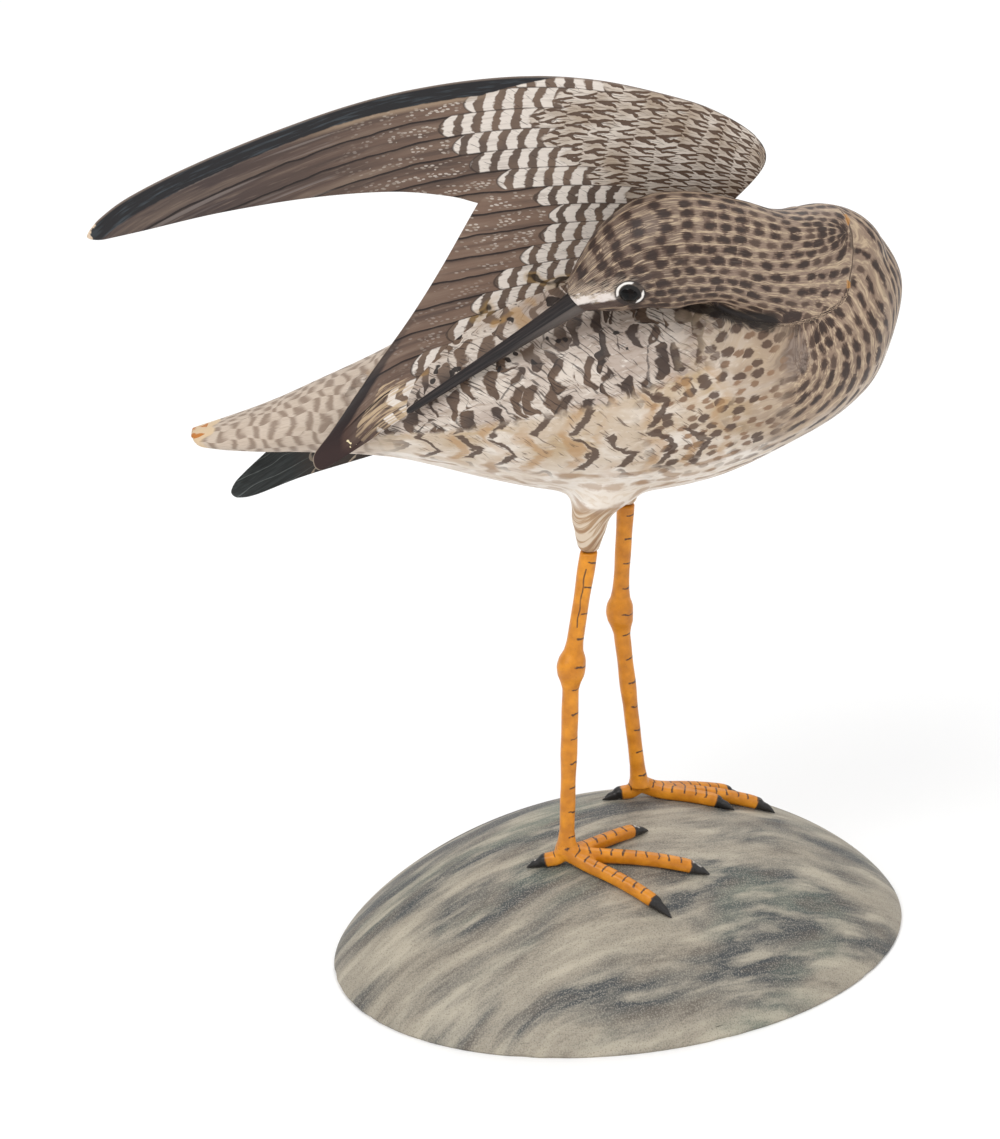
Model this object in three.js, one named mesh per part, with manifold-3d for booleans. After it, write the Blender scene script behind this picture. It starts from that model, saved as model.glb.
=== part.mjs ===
// Preening shorebird decoy: a carved and painted wooden yellowlegs on a domed oval base.
// Millimetres, +Z up. The origin is the centre of the base's flat underside. The bird faces +X,
// with its right side towards -Y, its neck bent back along that side and its right wing raised.
import * as THREE from "three";
import { mergeVertices } from "three/addons/utils/BufferGeometryUtils.js";
import Module from "manifold-3d";

const wasm = await Module();
wasm.setup();

// Driving sizes, in millimetres and degrees
const BASE_LENGTH = 183;
const BASE_WIDTH = 138;
const BASE_HEIGHT = 40;
const BASE_RIM = 0.6;
const BASE_TURN = 26.7;
const LEG_HEIGHT = 97;
const LEG_THICKNESS = 4.8;
const KNEE_THICKNESS = 8.2;
const TOE_THICKNESS = 4.2;
const MIDDLE_TOE_LENGTH = 43;
const STANCE_WIDTH = 40;
const STRIDE = 23;
const BODY_LENGTH = 206;
const BILL_LENGTH = 61.5;
const BILL_DEPTH = 7.4;
const EYE_DIAMETER = 6.4;
const WING_THICKNESS = 4.4;
const FIT_GAP = 0.3;

// The bird's own frame: its origin is above the base's centre, level with the ends of the thigh
// tufts. Its pose and proportions are hundredths of the body's length, from tail tip to breast.
const HIP_HEIGHT = BASE_HEIGHT + LEG_HEIGHT;
const share = (hundredths) => (hundredths / 100) * BODY_LENGTH;
const birdPoint = ([x, y, z]) => new THREE.Vector3(share(x), share(y), HIP_HEIGHT + share(z));

const ALONG = new THREE.Vector3(1, 0, 0);
const ACROSS = new THREE.Vector3(0, 1, 0);
const UP = new THREE.Vector3(0, 0, 1);

const curveThrough = (points) => new THREE.CatmullRomCurve3(points, false, "catmullrom", 0.5);

// A smooth value from 0 to 1 along a piece, through evenly spaced ones
function valuesAlong(values) {
  const curve = curveThrough(values.map((value, i) => new THREE.Vector3(i, value, 0)));
  return (t) => curve.getPoint(t).y;
}

// An oval ring of points about a centre, through the ends of its two half axes
function ovalRing(centre, halfUp, halfSide, sides) {
  return Array.from({ length: sides }, (_, j) => {
    const angle = (2 * Math.PI * j) / sides;
    const point = centre.clone().addScaledVector(halfUp, Math.cos(angle));
    return point.addScaledVector(halfSide, Math.sin(angle));
  });
}

// A closed skin over rings of equal count, with each end closed to its ring's centre.
// A skin whose rings run the other way round comes out inside out, so it is turned.
function skinOver(rings) {
  const count = rings[0].length;
  const corners = [];
  const middleOf = (ring) =>
    ring.reduce((sum, point) => sum.add(point), new THREE.Vector3()).divideScalar(count);
  const first = rings[0];
  const last = rings[rings.length - 1];
  const start = middleOf(first);
  const end = middleOf(last);
  for (let j = 0; j < count; j += 1) {
    const next = (j + 1) % count;
    corners.push(start, first[j], first[next]);
    corners.push(end, last[next], last[j]);
    for (let i = 1; i < rings.length; i += 1) {
      corners.push(rings[i - 1][j], rings[i][j], rings[i][next]);
      corners.push(rings[i - 1][j], rings[i][next], rings[i - 1][next]);
    }
  }
  let volume = 0;
  for (let i = 0; i < corners.length; i += 3) {
    volume += corners[i].dot(corners[i + 1].clone().cross(corners[i + 2]));
  }
  if (volume < 0) corners.reverse();
  return new THREE.BufferGeometry().setFromPoints(corners);
}

// A tube along a path, its rings square to the path and level from side to side
function tubeAlong(path, halfHeight, halfWidth, steps, sides) {
  const rings = [];
  for (let i = 0; i <= steps; i += 1) {
    const t = i / steps;
    const along = path.getTangent(t);
    const side = along.clone().cross(UP).normalize();
    const up = side.clone().cross(along);
    up.multiplyScalar(halfHeight(t));
    side.multiplyScalar(halfWidth(t));
    rings.push(ovalRing(path.getPoint(t), up, side, sides));
  }
  return skinOver(rings);
}

// Solids for joins and cuts, and a named mesh from a finished one
const SAME_POINT = 1e-4;

function solidOf(geometry) {
  const bare = geometry.clone();
  bare.deleteAttribute("normal");
  bare.deleteAttribute("uv");
  const merged = mergeVertices(bare, SAME_POINT);
  const vertProperties = new Float32Array(merged.attributes.position.array);
  const triVerts = new Uint32Array(merged.index.array);
  return new wasm.Manifold(new wasm.Mesh({ numProp: 3, vertProperties, triVerts }));
}

const decoy = new THREE.Group();

function addPiece(name, solid, material) {
  const { vertProperties, triVerts } = solid.getMesh();
  const geometry = new THREE.BufferGeometry();
  geometry.setAttribute("position", new THREE.BufferAttribute(new Float32Array(vertProperties), 3));
  geometry.setIndex(new THREE.BufferAttribute(new Uint32Array(triVerts), 1));
  const mesh = new THREE.Mesh(geometry, material);
  mesh.name = name;
  decoy.add(mesh);
}

// Base: a low oval dome with a sharp rim and a flat underside, turned under the bird
const DOME_POWER = 0.787;
const DOME_SIDES = 40;
const DOME_STEPS = 8;
// The last ring stops short of the middle, which closes the dome with a small flat
const DOME_CROWN = 0.96;
const baseTurn = THREE.MathUtils.degToRad(BASE_TURN);
const baseLengthwise = ALONG.clone().applyAxisAngle(UP, baseTurn);
const baseCrosswise = ACROSS.clone().applyAxisAngle(UP, baseTurn);

// The dome's top over a point of the ground: the share of the way out to the rim, squared, is
// taken from one, and a power of the rest is the share of the height.
function domeHeight(x, y) {
  const ground = new THREE.Vector3(x, y, 0);
  const lengthwise = ground.dot(baseLengthwise) / (BASE_LENGTH / 2);
  const crosswise = ground.dot(baseCrosswise) / (BASE_WIDTH / 2);
  const left = Math.max(0, 1 - lengthwise ** 2 - crosswise ** 2);
  return BASE_RIM + (BASE_HEIGHT - BASE_RIM) * left ** DOME_POWER;
}

function makeBase() {
  const ringAt = (out) => {
    const halfLength = baseLengthwise.clone().multiplyScalar((out * BASE_LENGTH) / 2);
    const halfWidth = baseCrosswise.clone().multiplyScalar((out * BASE_WIDTH) / 2);
    return ovalRing(new THREE.Vector3(), halfLength, halfWidth, DOME_SIDES);
  };
  const rings = [ringAt(1)];
  for (let i = 0; i <= DOME_STEPS; i += 1) {
    const climb = (DOME_CROWN * i * Math.PI) / (2 * DOME_STEPS);
    const ring = ringAt(Math.cos(climb));
    ring.forEach((point) => {
      point.z = domeHeight(point.x, point.y);
    });
    rings.push(ring);
  }
  const paint = new THREE.MeshStandardMaterial({ color: 0x7c7d74, roughness: 0.62, metalness: 0 });
  addPiece("base", solidOf(skinOver(rings)), paint);
}

// Body: one block from the flat tail to the full breast. Its outline runs from the tail's lower
// corner along the belly, round the breast and back along the back, as x and z.
const BELLY = [
  [-59.6, 12.6], [-56.4, 12.3], [-51.0, 12.0], [-44.7, 11.9], [-32.5, 11.4], [-19.4, 8.4],
  [-9.7, 6.8], [0, 6.5], [12.1, 9.0], [23.3, 14.5], [30.6, 19.3], [35.2, 25.4],
];
const BREAST = [37.9, 36.4];
const BACK = [
  [34.6, 43.4], [30.1, 46.0], [23.3, 45.6], [12.1, 43.9], [0, 42.4], [-9.7, 39.8], [-19.4, 36.1],
  [-32.5, 27.3], [-44.7, 21.3], [-51.0, 18.3], [-57.3, 15.9], [-62.0, 14.5],
];
const BODY_HALF_WIDTHS = [2.9, 4.3, 5.3, 6.1, 9.7, 14.1, 16.5, 17.5, 17.5, 15.8, 13.1, 9.2, 0];
const BODY_STEPS = 32;
const BODY_SIDES = 24;
const BODY_NOSE = 0.985;
const bodyOutline = curveThrough([...BELLY, BREAST, ...BACK].map(([x, z]) => birdPoint([x, 0, z])));
const bodyHalfWidth = valuesAlong(BODY_HALF_WIDTHS.map(share));

function bodySkin(extra) {
  const rings = [];
  for (let i = 0; i <= BODY_STEPS; i += 1) {
    const t = (BODY_NOSE * i) / BODY_STEPS;
    const belly = bodyOutline.getPoint(t / 2);
    const back = bodyOutline.getPoint(1 - t / 2);
    const centre = belly.clone().add(back).divideScalar(2);
    const halfUp = back.clone().sub(centre);
    halfUp.setLength(halfUp.length() + extra);
    const halfSide = ACROSS.clone().multiplyScalar(bodyHalfWidth(t) + extra);
    rings.push(ovalRing(centre, halfUp, halfSide, BODY_SIDES));
  }
  rings[0].forEach((point) => {
    point.x -= extra;
  });
  rings[BODY_STEPS].forEach((point) => {
    point.x += extra;
  });
  return solidOf(skinOver(rings));
}

// Thigh tufts: from the bare leg's end up into the belly, as rise, forward shift, inward shift,
// half length and half width
const TUFT_ROWS = [
  [0, 0, 0, 1.4, 1.4], [1.6, 0, 0, 1.85, 1.75], [3.2, 0.15, 0, 2.25, 2.15],
  [4.9, 0.2, 0.15, 2.7, 2.6], [6.3, 0.8, 0.3, 3.25, 3.1], [7.8, 1.7, 0.5, 4.3, 3.9],
  [9.7, 2.6, 1, 5.8, 4.6], [12.6, 2.9, 1.5, 6.3, 4.9],
];
const TUFT_SIDES = 16;
const RIGHT_HIP = [-5.5, -8.7, 0];
const LEFT_HIP = [0.15, 8.25, 0];

function tuftOver(hip) {
  const inward = -Math.sign(hip[1]);
  const rings = TUFT_ROWS.map(([rise, forward, inwards, halfLength, halfWidth]) => {
    const centre = birdPoint([hip[0] + forward, hip[1] + inward * inwards, hip[2] + rise]);
    const halfAlong = ALONG.clone().multiplyScalar(share(halfLength));
    const halfAcross = ACROSS.clone().multiplyScalar(share(halfWidth));
    return ovalRing(centre, halfAlong, halfAcross, TUFT_SIDES);
  });
  return solidOf(skinOver(rings));
}

// Neck and head: from inside the breast, back and out along the right side, down to the bill
const NECK_PATH = [
  [32.6, 0.4, 38.0], [29.6, -2.2, 41.2], [26.2, -4.6, 42.3], [22.3, -7.9, 42.0], [17.5, -11.2, 44.0],
  [12.8, -13.8, 46.4], [7.8, -15.5, 47.4], [3.6, -16.0, 47.0], [-0.2, -16.0, 45.5], [-3.7, -16.0, 43.2],
  [-6.1, -15.9, 41.4], [-7.5, -15.8, 39.9],
];
const NECK_HALF_DEPTHS = [3.2, 6.1, 7.4, 8.4, 7.3, 7.1, 7.8, 8.1, 7.0, 5.2, 3.5];
const NECK_HALF_WIDTHS = [3.4, 6.3, 7.0, 7.2, 6.5, 6.1, 6.4, 6.5, 5.8, 4.5, 2.9];
// The head ends in a blunt face just wider than the bill
const HEAD_END = 0.56;
const NECK_STEPS = 28;
const NECK_SIDES = 20;
const SEAM_POINT = [25.4, -4.2, 41.3];
const SEAM_NORMAL = [-0.83, -0.48, 0.28];
const neckPath = curveThrough(NECK_PATH.map(birdPoint));
const neckHalfDepth = valuesAlong([...NECK_HALF_DEPTHS.map(share), BILL_DEPTH * HEAD_END]);
const neckHalfWidth = valuesAlong([...NECK_HALF_WIDTHS.map(share), BILL_DEPTH * HEAD_END]);

// Everything behind the seam's plane, as a block that reaches past the whole neck
function behindSeam(back) {
  const normal = new THREE.Vector3(...SEAM_NORMAL).normalize();
  const reach = BODY_LENGTH;
  const block = new THREE.BoxGeometry(reach, reach, reach);
  block.applyQuaternion(new THREE.Quaternion().setFromUnitVectors(UP, normal));
  const middle = birdPoint(SEAM_POINT).addScaledVector(normal, reach / 2 - back);
  block.translate(middle.x, middle.y, middle.z);
  return solidOf(block);
}

// Eyes: glass balls sunk in the head's sides, level with its cheeks
const EYE_SHARE = 0.765;
const EYE_DROP = 0.32;
const EYE_PROUD = 1.0;
const EYE_SIDES = 10;
const EYE_STEPS = 7;

function eyeCentre(side) {
  const along = neckPath.getTangent(EYE_SHARE);
  const outward = along.clone().cross(UP).normalize();
  const up = outward.clone().cross(along).normalize();
  const drop = neckHalfDepth(EYE_SHARE) * EYE_DROP;
  const reach = neckHalfWidth(EYE_SHARE) * Math.sqrt(1 - EYE_DROP ** 2) - EYE_DIAMETER / 2 + EYE_PROUD;
  return neckPath.getPoint(EYE_SHARE).addScaledVector(outward, side * reach).addScaledVector(up, -drop);
}

function eyeBall(side, extra) {
  const centre = eyeCentre(side);
  const ball = new THREE.SphereGeometry(EYE_DIAMETER / 2 + extra, EYE_SIDES, EYE_STEPS);
  ball.translate(centre.x, centre.y, centre.z);
  return solidOf(ball);
}

// Bill: let into the head's front, it tapers to a fine tip that lies just clear of the flank
const BILL_TIP = [-31.1, -11.2, 21.7];
const BILL_TAPER = [1, 0.8, 0.66, 0.56, 0.48, 0.41, 0.34, 0.24];
const BILL_SLIMNESS = 0.82;
const BILL_SINK = 1.5;
const BILL_STEPS = 12;
const BILL_SIDES = 10;

function bill(extra) {
  const head = neckPath.getPoint(1);
  const towards = birdPoint(BILL_TIP).sub(head).normalize();
  const start = head.clone().addScaledVector(towards, -BILL_SINK - extra);
  const tip = head.clone().addScaledVector(towards, BILL_LENGTH);
  const taper = valuesAlong(BILL_TAPER);
  const halfDepth = (t) => (taper(t) * BILL_DEPTH) / 2 + extra;
  const halfWidth = (t) => (taper(t) * BILL_DEPTH * BILL_SLIMNESS) / 2 + extra;
  const path = new THREE.LineCurve3(start, tip);
  return solidOf(tubeAlong(path, halfDepth, halfWidth, BILL_STEPS, BILL_SIDES));
}

function makeBird() {
  const paint = { roughness: 0.55, metalness: 0 };
  const solidBody = bodySkin(0);
  const swollenBody = bodySkin(FIT_GAP);
  const neck = solidOf(tubeAlong(neckPath, neckHalfDepth, neckHalfWidth, NECK_STEPS, NECK_SIDES));

  const neckRoot = neck.subtract(behindSeam(FIT_GAP));
  const body = solidBody.add(neckRoot).add(tuftOver(RIGHT_HIP)).add(tuftOver(LEFT_HIP));
  addPiece("body", body, new THREE.MeshStandardMaterial({ color: 0xb9a78f, ...paint }));

  const head = neck
    .intersect(behindSeam(0))
    .subtract(swollenBody)
    .subtract(eyeBall(1, FIT_GAP))
    .subtract(eyeBall(-1, FIT_GAP))
    .subtract(bill(FIT_GAP));
  addPiece("head_and_neck", head, new THREE.MeshStandardMaterial({ color: 0x7a6552, ...paint }));

  const glass = { color: 0x0b0908, roughness: 0.06, metalness: 0 };
  addPiece("left_eye", eyeBall(-1, 0), new THREE.MeshStandardMaterial(glass));
  addPiece("right_eye", eyeBall(1, 0), new THREE.MeshStandardMaterial(glass));

  const horn = new THREE.MeshStandardMaterial({ color: 0x2e2a29, roughness: 0.45, metalness: 0 });
  addPiece("bill", bill(0), horn);

  const wingPaint = new THREE.MeshStandardMaterial({ color: 0x5c5148, ...paint });
  addPiece("raised_wing", raisedWing().subtract(swollenBody), wingPaint);
  const darkWingPaint = new THREE.MeshStandardMaterial({ color: 0x35312c, ...paint });
  addPiece("folded_wing", foldedWing().subtract(swollenBody), darkWingPaint);
}

// Raised wing: a blade between its leading and its trailing edge, both listed from the root to
// the tip as x and z. The trailing edge turns a corner between the secondaries and primaries.
const LEADING_EDGE = [
  [-4.2, 35.9], [1.3, 40.6], [9.4, 46.7], [14.1, 50.8], [18.0, 56.2], [16.5, 60.5], [11.0, 64.5],
  [4.9, 67.0], [-5.1, 69.7], [-15.3, 70.5], [-27.3, 69.2], [-39.4, 66.0], [-55.6, 59.4], [-68.0, 53.0],
  [-74.3, 47.9],
];
const INNER_TRAILING_EDGE = [
  [-33.9, 18.8], [-38.5, 16.5], [-42.7, 13.7], [-43.8, 16.0], [-41.1, 19.6], [-36.3, 25.9],
  [-31.2, 32.7], [-26.4, 40.6], [-21.0, 50.9],
];
const OUTER_TRAILING_EDGE = [
  [-21.0, 50.9], [-25.2, 52.1], [-32.9, 52.9], [-43.8, 52.2], [-56.0, 50.2], [-66.9, 47.6],
  [-74.0, 46.0],
];
const WING_HALF_THICKNESS = [
  0.5, 0.5, 0.5, 0.55, 0.6, 0.62, 0.6, 0.56, 0.5, 0.46, 0.42, 0.36, 0.3, 0.24, 0.16,
];
const WING_STEPS = 42;
const WING_SIDES = 14;
// The blade stands at the body's side and splays outwards to the rear. It is dished above the
// line where it is deepest, and flares out round the flank below it.
const WING_SIDE = -4.27;
const WING_SPLAY = 0.06;
const DISH_HEIGHT = 33.0;
const DISH_RADIUS = 97;
const FLARE = 4.85;
const FLARE_HEIGHT = 20.4;
// The root's edge turns in under the flank's surface
const ROOT_TURN = 3.4;
const ROOT_TURN_SHARE = 0.1;
// The last long feathers of the inner wing roll over at their edge
const ROLL_DEPTH = 1.7;
const ROLL_CENTRE = 0.24;
const ROLL_SPREAD = 0.1;
const ROLL_NARROWNESS = 12;

function raisedWing() {
  const inPlane = ([x, z]) => birdPoint([x, 0, z]);
  const leading = curveThrough(LEADING_EDGE.map(inPlane));
  const inner = curveThrough(INNER_TRAILING_EDGE.map(inPlane));
  const outer = curveThrough(OUTER_TRAILING_EDGE.map(inPlane));
  const corner = (INNER_TRAILING_EDGE.length - 1) / (LEADING_EDGE.length - 1);
  const trailing = (t) => {
    if (t <= corner) return inner.getPoint(t / corner);
    return outer.getPoint((t - corner) / (1 - corner));
  };
  const halfThickness = valuesAlong(WING_HALF_THICKNESS.map((factor) => factor * WING_THICKNESS));
  const deepest = HIP_HEIGHT + share(DISH_HEIGHT);
  const rings = [];
  for (let i = 0; i <= WING_STEPS; i += 1) {
    const t = i / WING_STEPS;
    const front = leading.getPoint(t);
    const back = trailing(t);
    const centre = front.clone().add(back).divideScalar(2);
    const halfChord = front.clone().sub(centre);
    const halfDeep = ACROSS.clone().multiplyScalar(halfThickness(t));
    const ring = ovalRing(centre, halfChord, halfDeep, WING_SIDES);
    const rootTurn = share(ROOT_TURN) * Math.max(0, 1 - t / ROOT_TURN_SHARE) ** 2;
    const roll = share(ROLL_DEPTH) * Math.exp(-(((t - ROLL_CENTRE) / ROLL_SPREAD) ** 2));
    ring.forEach((point, j) => {
      const rise = point.z - deepest;
      const fall = Math.min(1, Math.max(0, -rise / share(FLARE_HEIGHT)));
      const dish = Math.max(0, rise) ** 2 / (2 * share(DISH_RADIUS));
      const flare = (share(FLARE) * (1 - Math.cos(Math.PI * fall))) / 2;
      const towardsBack = (1 - Math.cos((2 * Math.PI * j) / WING_SIDES)) / 2;
      point.y += share(WING_SIDE) + WING_SPLAY * point.x - dish - flare;
      point.y += rootTurn - roll * towardsBack ** ROLL_NARROWNESS;
    });
    rings.push(ring);
  }
  return solidOf(skinOver(rings));
}

// Folded wing: a leaf wrapped round the left flank, whose tip runs on free below the tail. Each
// row is its middle, its half chord, how far its face looks up, and its radius of wrap.
const FOLDED_ROWS = [
  [22.5, 14.4, 34.0, 1.8, 20, 16],
  [14.6, 16.2, 34.0, 6.3, 21, 17],
  [3.9, 16.9, 30.1, 9.7, 16, 18],
  [-8.7, 16.4, 26.2, 10.7, 9, 17.5],
  [-21.8, 13.6, 21.0, 9.7, 2, 18],
  [-34.0, 10.8, 15.0, 7.5, 0, 28],
  [-46.1, 9.0, 8.4, 4.3, -5, 48],
  [-53.4, 7.5, 4.0, 2.4, -5, 60],
  [-56.7, 7.1, 2.2, 0.9, -5, 60],
];
const FOLDED_HALF_THICKNESS = [0.4, 0.55, 0.6, 0.6, 0.55, 0.5, 0.42, 0.34, 0.2];
const FOLDED_STEPS = 22;
const FOLDED_SIDES = 14;

function foldedWing() {
  const column = (k) => valuesAlong(FOLDED_ROWS.map((row) => row[k]));
  const [x, y, z, halfChord, look, wrap] = [0, 1, 2, 3, 4, 5].map(column);
  const halfThickness = valuesAlong(FOLDED_HALF_THICKNESS.map((factor) => factor * WING_THICKNESS));
  const rings = [];
  for (let i = 0; i <= FOLDED_STEPS; i += 1) {
    const t = i / FOLDED_STEPS;
    const radius = share(wrap(t));
    const facing = THREE.MathUtils.degToRad(look(t));
    const normal = new THREE.Vector3(0, Math.cos(facing), Math.sin(facing));
    const axis = birdPoint([x(t), y(t), z(t)]).addScaledVector(normal, -radius);
    const ring = [];
    for (let j = 0; j < FOLDED_SIDES; j += 1) {
      const angle = (2 * Math.PI * j) / FOLDED_SIDES;
      const turn = (Math.cos(angle) * share(halfChord(t))) / radius;
      const spoke = normal.clone().applyAxisAngle(ALONG, turn);
      ring.push(axis.clone().addScaledVector(spoke, radius + Math.sin(angle) * halfThickness(t)));
    }
    rings.push(ring);
  }
  return solidOf(skinOver(rings));
}

// Legs: a slim shaft with a swollen joint, and four toes that follow the dome
const KNEE_SHARE = 0.37;
const RIGHT_KNEE = [-7.9, -9.7, -17.6];
const LEFT_KNEE = [-0.55, 8.7, -17.6];
const FEET_CENTRE = [-2.8, -0.8];
// Down the leg, as shares of its length and of the thickness of its shaft or its joint
const SHAFT_ROWS = [
  [0, 1.08], [0.1, 1.04], [0.22, 1.0], [0.3, 1.08], [0.46, 1.04], [0.66, 1.02], [0.8, 0.94],
  [0.95, 0.94], [1, 1.3],
];
const KNEE_ROWS = [[0.335, 0.84], [0.36, 1], [0.39, 0.98], [0.42, 0.84]];
const LEG_SIDES = 10;
const TOE_PROFILE = [1.1, 1.02, 1, 0.98, 0.97, 0.95, 0.88, 0.5, 0.12];
const TOE_LIFT = 2.2;
const TOE_LIFT_SHARE = 0.3;
const TOE_STEPS = 10;
const TOE_SIDES = 8;
const SLOPE_REACH = 0.3;
const TOE_LENGTHS = { middle: 1, outer: 0.84, inner: 0.68, hind: 0.28 };

// A toe lies on the dome, square to its slope there, and lifts a little towards the ankle
function toe(ankle, bearing, length) {
  const halfThickness = valuesAlong(TOE_PROFILE.map((factor) => (factor * TOE_THICKNESS) / 2));
  const points = [];
  for (let i = 0; i <= TOE_STEPS; i += 1) {
    const t = i / TOE_STEPS;
    const x = ankle.x + Math.cos(bearing) * length * t;
    const y = ankle.y + Math.sin(bearing) * length * t;
    const fallX = domeHeight(x - SLOPE_REACH, y) - domeHeight(x + SLOPE_REACH, y);
    const fallY = domeHeight(x, y - SLOPE_REACH) - domeHeight(x, y + SLOPE_REACH);
    const outward = new THREE.Vector3(fallX, fallY, 2 * SLOPE_REACH).normalize();
    const ground = new THREE.Vector3(x, y, domeHeight(x, y));
    const lift = TOE_LIFT * Math.max(0, 1 - t / TOE_LIFT_SHARE) ** 2;
    points.push(ground.addScaledVector(outward, halfThickness(t) + FIT_GAP + lift));
  }
  return solidOf(tubeAlong(curveThrough(points), halfThickness, halfThickness, TOE_STEPS, TOE_SIDES));
}

function leg(hip, knee, forward, bearings) {
  const top = birdPoint(hip).addScaledVector(UP, -FIT_GAP);
  const bend = birdPoint(knee);
  const x = share(FEET_CENTRE[0]) + (forward * STRIDE) / 2;
  const y = share(FEET_CENTRE[1]) + (forward * STANCE_WIDTH) / 2;
  const ankle = new THREE.Vector3(x, y, domeHeight(x, y) + TOE_THICKNESS / 2 + TOE_LIFT);
  const shaft = SHAFT_ROWS.map(([t, factor]) => [t, factor * LEG_THICKNESS]);
  const joint = KNEE_ROWS.map(([t, factor]) => [t, factor * KNEE_THICKNESS]);
  const rows = shaft.concat(joint).sort((a, b) => a[0] - b[0]);
  const rings = rows.map(([t, thickness]) => {
    const above = top.clone().lerp(bend, t / KNEE_SHARE);
    const below = bend.clone().lerp(ankle, (t - KNEE_SHARE) / (1 - KNEE_SHARE));
    const centre = t < KNEE_SHARE ? above : below;
    const halfAlong = ALONG.clone().multiplyScalar(thickness / 2);
    const halfAcross = ACROSS.clone().multiplyScalar(thickness / 2);
    return ovalRing(centre, halfAlong, halfAcross, LEG_SIDES);
  });
  let solid = solidOf(skinOver(rings));
  Object.entries(bearings).forEach(([name, degrees]) => {
    const length = TOE_LENGTHS[name] * MIDDLE_TOE_LENGTH;
    solid = solid.add(toe(ankle, THREE.MathUtils.degToRad(degrees), length));
  });
  return solid;
}

function makeLegs() {
  const paint = new THREE.MeshStandardMaterial({ color: 0xd98a1f, roughness: 0.5, metalness: 0 });
  const right = leg(RIGHT_HIP, RIGHT_KNEE, -1, { middle: -1, outer: -31, inner: 31, hind: 181 });
  addPiece("right_leg", right, paint);
  const left = leg(LEFT_HIP, LEFT_KNEE, 1, { middle: 10, outer: 26, inner: -4, hind: 194 });
  addPiece("left_leg", left, paint);
}

makeBird();
makeLegs();
makeBase();

export default decoy;
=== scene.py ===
import bpy
import numpy as np
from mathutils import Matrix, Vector


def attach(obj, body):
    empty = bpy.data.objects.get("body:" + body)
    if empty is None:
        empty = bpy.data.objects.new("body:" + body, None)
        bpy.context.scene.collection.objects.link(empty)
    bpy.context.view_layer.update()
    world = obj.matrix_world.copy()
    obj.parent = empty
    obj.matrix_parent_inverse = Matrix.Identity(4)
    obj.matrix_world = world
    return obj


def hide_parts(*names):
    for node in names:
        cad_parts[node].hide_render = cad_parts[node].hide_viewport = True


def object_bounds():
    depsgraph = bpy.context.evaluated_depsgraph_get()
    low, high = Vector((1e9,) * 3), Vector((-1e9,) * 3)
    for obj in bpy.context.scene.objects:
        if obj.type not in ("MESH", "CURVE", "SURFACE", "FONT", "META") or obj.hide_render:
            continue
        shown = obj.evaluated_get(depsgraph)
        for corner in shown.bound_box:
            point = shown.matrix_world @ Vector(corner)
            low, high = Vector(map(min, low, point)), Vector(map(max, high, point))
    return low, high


# A preening yellowlegs decoy: carved and painted wood, glass eyes, on a painted wooden dome.
# Sizes are in millimetres, angles in degrees. Blender's meshes are in metres, and so are the
# places and heights that a material reads from Object coordinates.

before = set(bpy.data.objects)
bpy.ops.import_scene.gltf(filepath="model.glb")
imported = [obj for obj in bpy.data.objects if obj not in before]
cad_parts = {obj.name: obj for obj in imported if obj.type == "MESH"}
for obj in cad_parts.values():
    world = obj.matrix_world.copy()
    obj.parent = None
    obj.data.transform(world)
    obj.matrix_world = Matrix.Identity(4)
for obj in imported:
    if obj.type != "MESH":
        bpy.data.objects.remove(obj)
cad_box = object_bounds()


# Base: a low oval dome, turned and carved from one block of pine, then painted in long grey
# brush strokes over a fine sandy ground. Small nicks break its rim.

BASE_LENGTH = 182.8
BASE_WIDTH = 137.8
BASE_HEIGHT = 39.9
BASE_RIM = 0.6
BASE_TURN = np.radians(26.7)
DOME_POWER = 0.787
DOME_RINGS = 120
DOME_SIDES = 320
RIM_NICK = 0.35
UNDERSIDE_OUT = (0.5, 0.995)
CROWN_CLIMB = 0.97
STROKE_RISE = 0.2
STROKE_SIZE = (17.0, 52.0)
THIN_STROKE_SIZE = (6.0, 30.0)
X, Y, Z = np.eye(3)


def linear(code):
    """An sRGB hex colour as linear red, green, blue and alpha. Each channel c becomes
    ((c + 0.055) / 1.055) to the power 2.4, or c / 12.92 near black."""
    channels = np.array([int(code[i : i + 2], 16) for i in (1, 3, 5)]) / 255
    bright = ((channels + 0.055) / 1.055) ** 2.4
    return (*np.where(channels > 0.04045, bright, channels / 12.92), 1.0)


def node(tree, kind, *inputs, out=0, **settings):
    """Adds one node and gives one of its outputs. A kind in capitals is a Math operation. Inputs
    are in order, or a dictionary by name or number; each is a value, a hex colour, or an output
    to link."""
    made = tree.nodes.new("ShaderNode" + ("Math" if kind.isupper() else kind))
    if kind.isupper():
        made.operation = kind
    for name, value in settings.items():
        setattr(made, name, value)
    named = inputs[0].items() if inputs and isinstance(inputs[0], dict) else enumerate(inputs)
    for name, value in named:
        if isinstance(value, bpy.types.NodeSocket):
            tree.links.new(value, made.inputs[name])
        else:
            made.inputs[name].default_value = linear(value) if isinstance(value, str) else value
    return made.outputs[out]


def new_finish(name, **shader):
    """A material and its node tree, with constants set on its shader's own sockets."""
    material = bpy.data.materials.new(name)
    material.use_nodes = True
    for socket, value in shader.items():
        principled = material.node_tree.nodes["Principled BSDF"]
        principled.inputs[socket.replace("_", " ")].default_value = value
    return material, material.node_tree


def join_finish(tree, colour, roughness, relief, depth):
    """Links a colour, a roughness and a relief of the given depth in mm to the shader."""
    surface = tree.nodes["Principled BSDF"]
    tree.links.new(colour, surface.inputs["Base Color"])
    tree.links.new(roughness, surface.inputs["Roughness"])
    bump = {"Strength": 1.0, "Distance": depth / 1000, "Height": relief}
    tree.links.new(node(tree, "Bump", bump), surface.inputs["Normal"])


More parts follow.
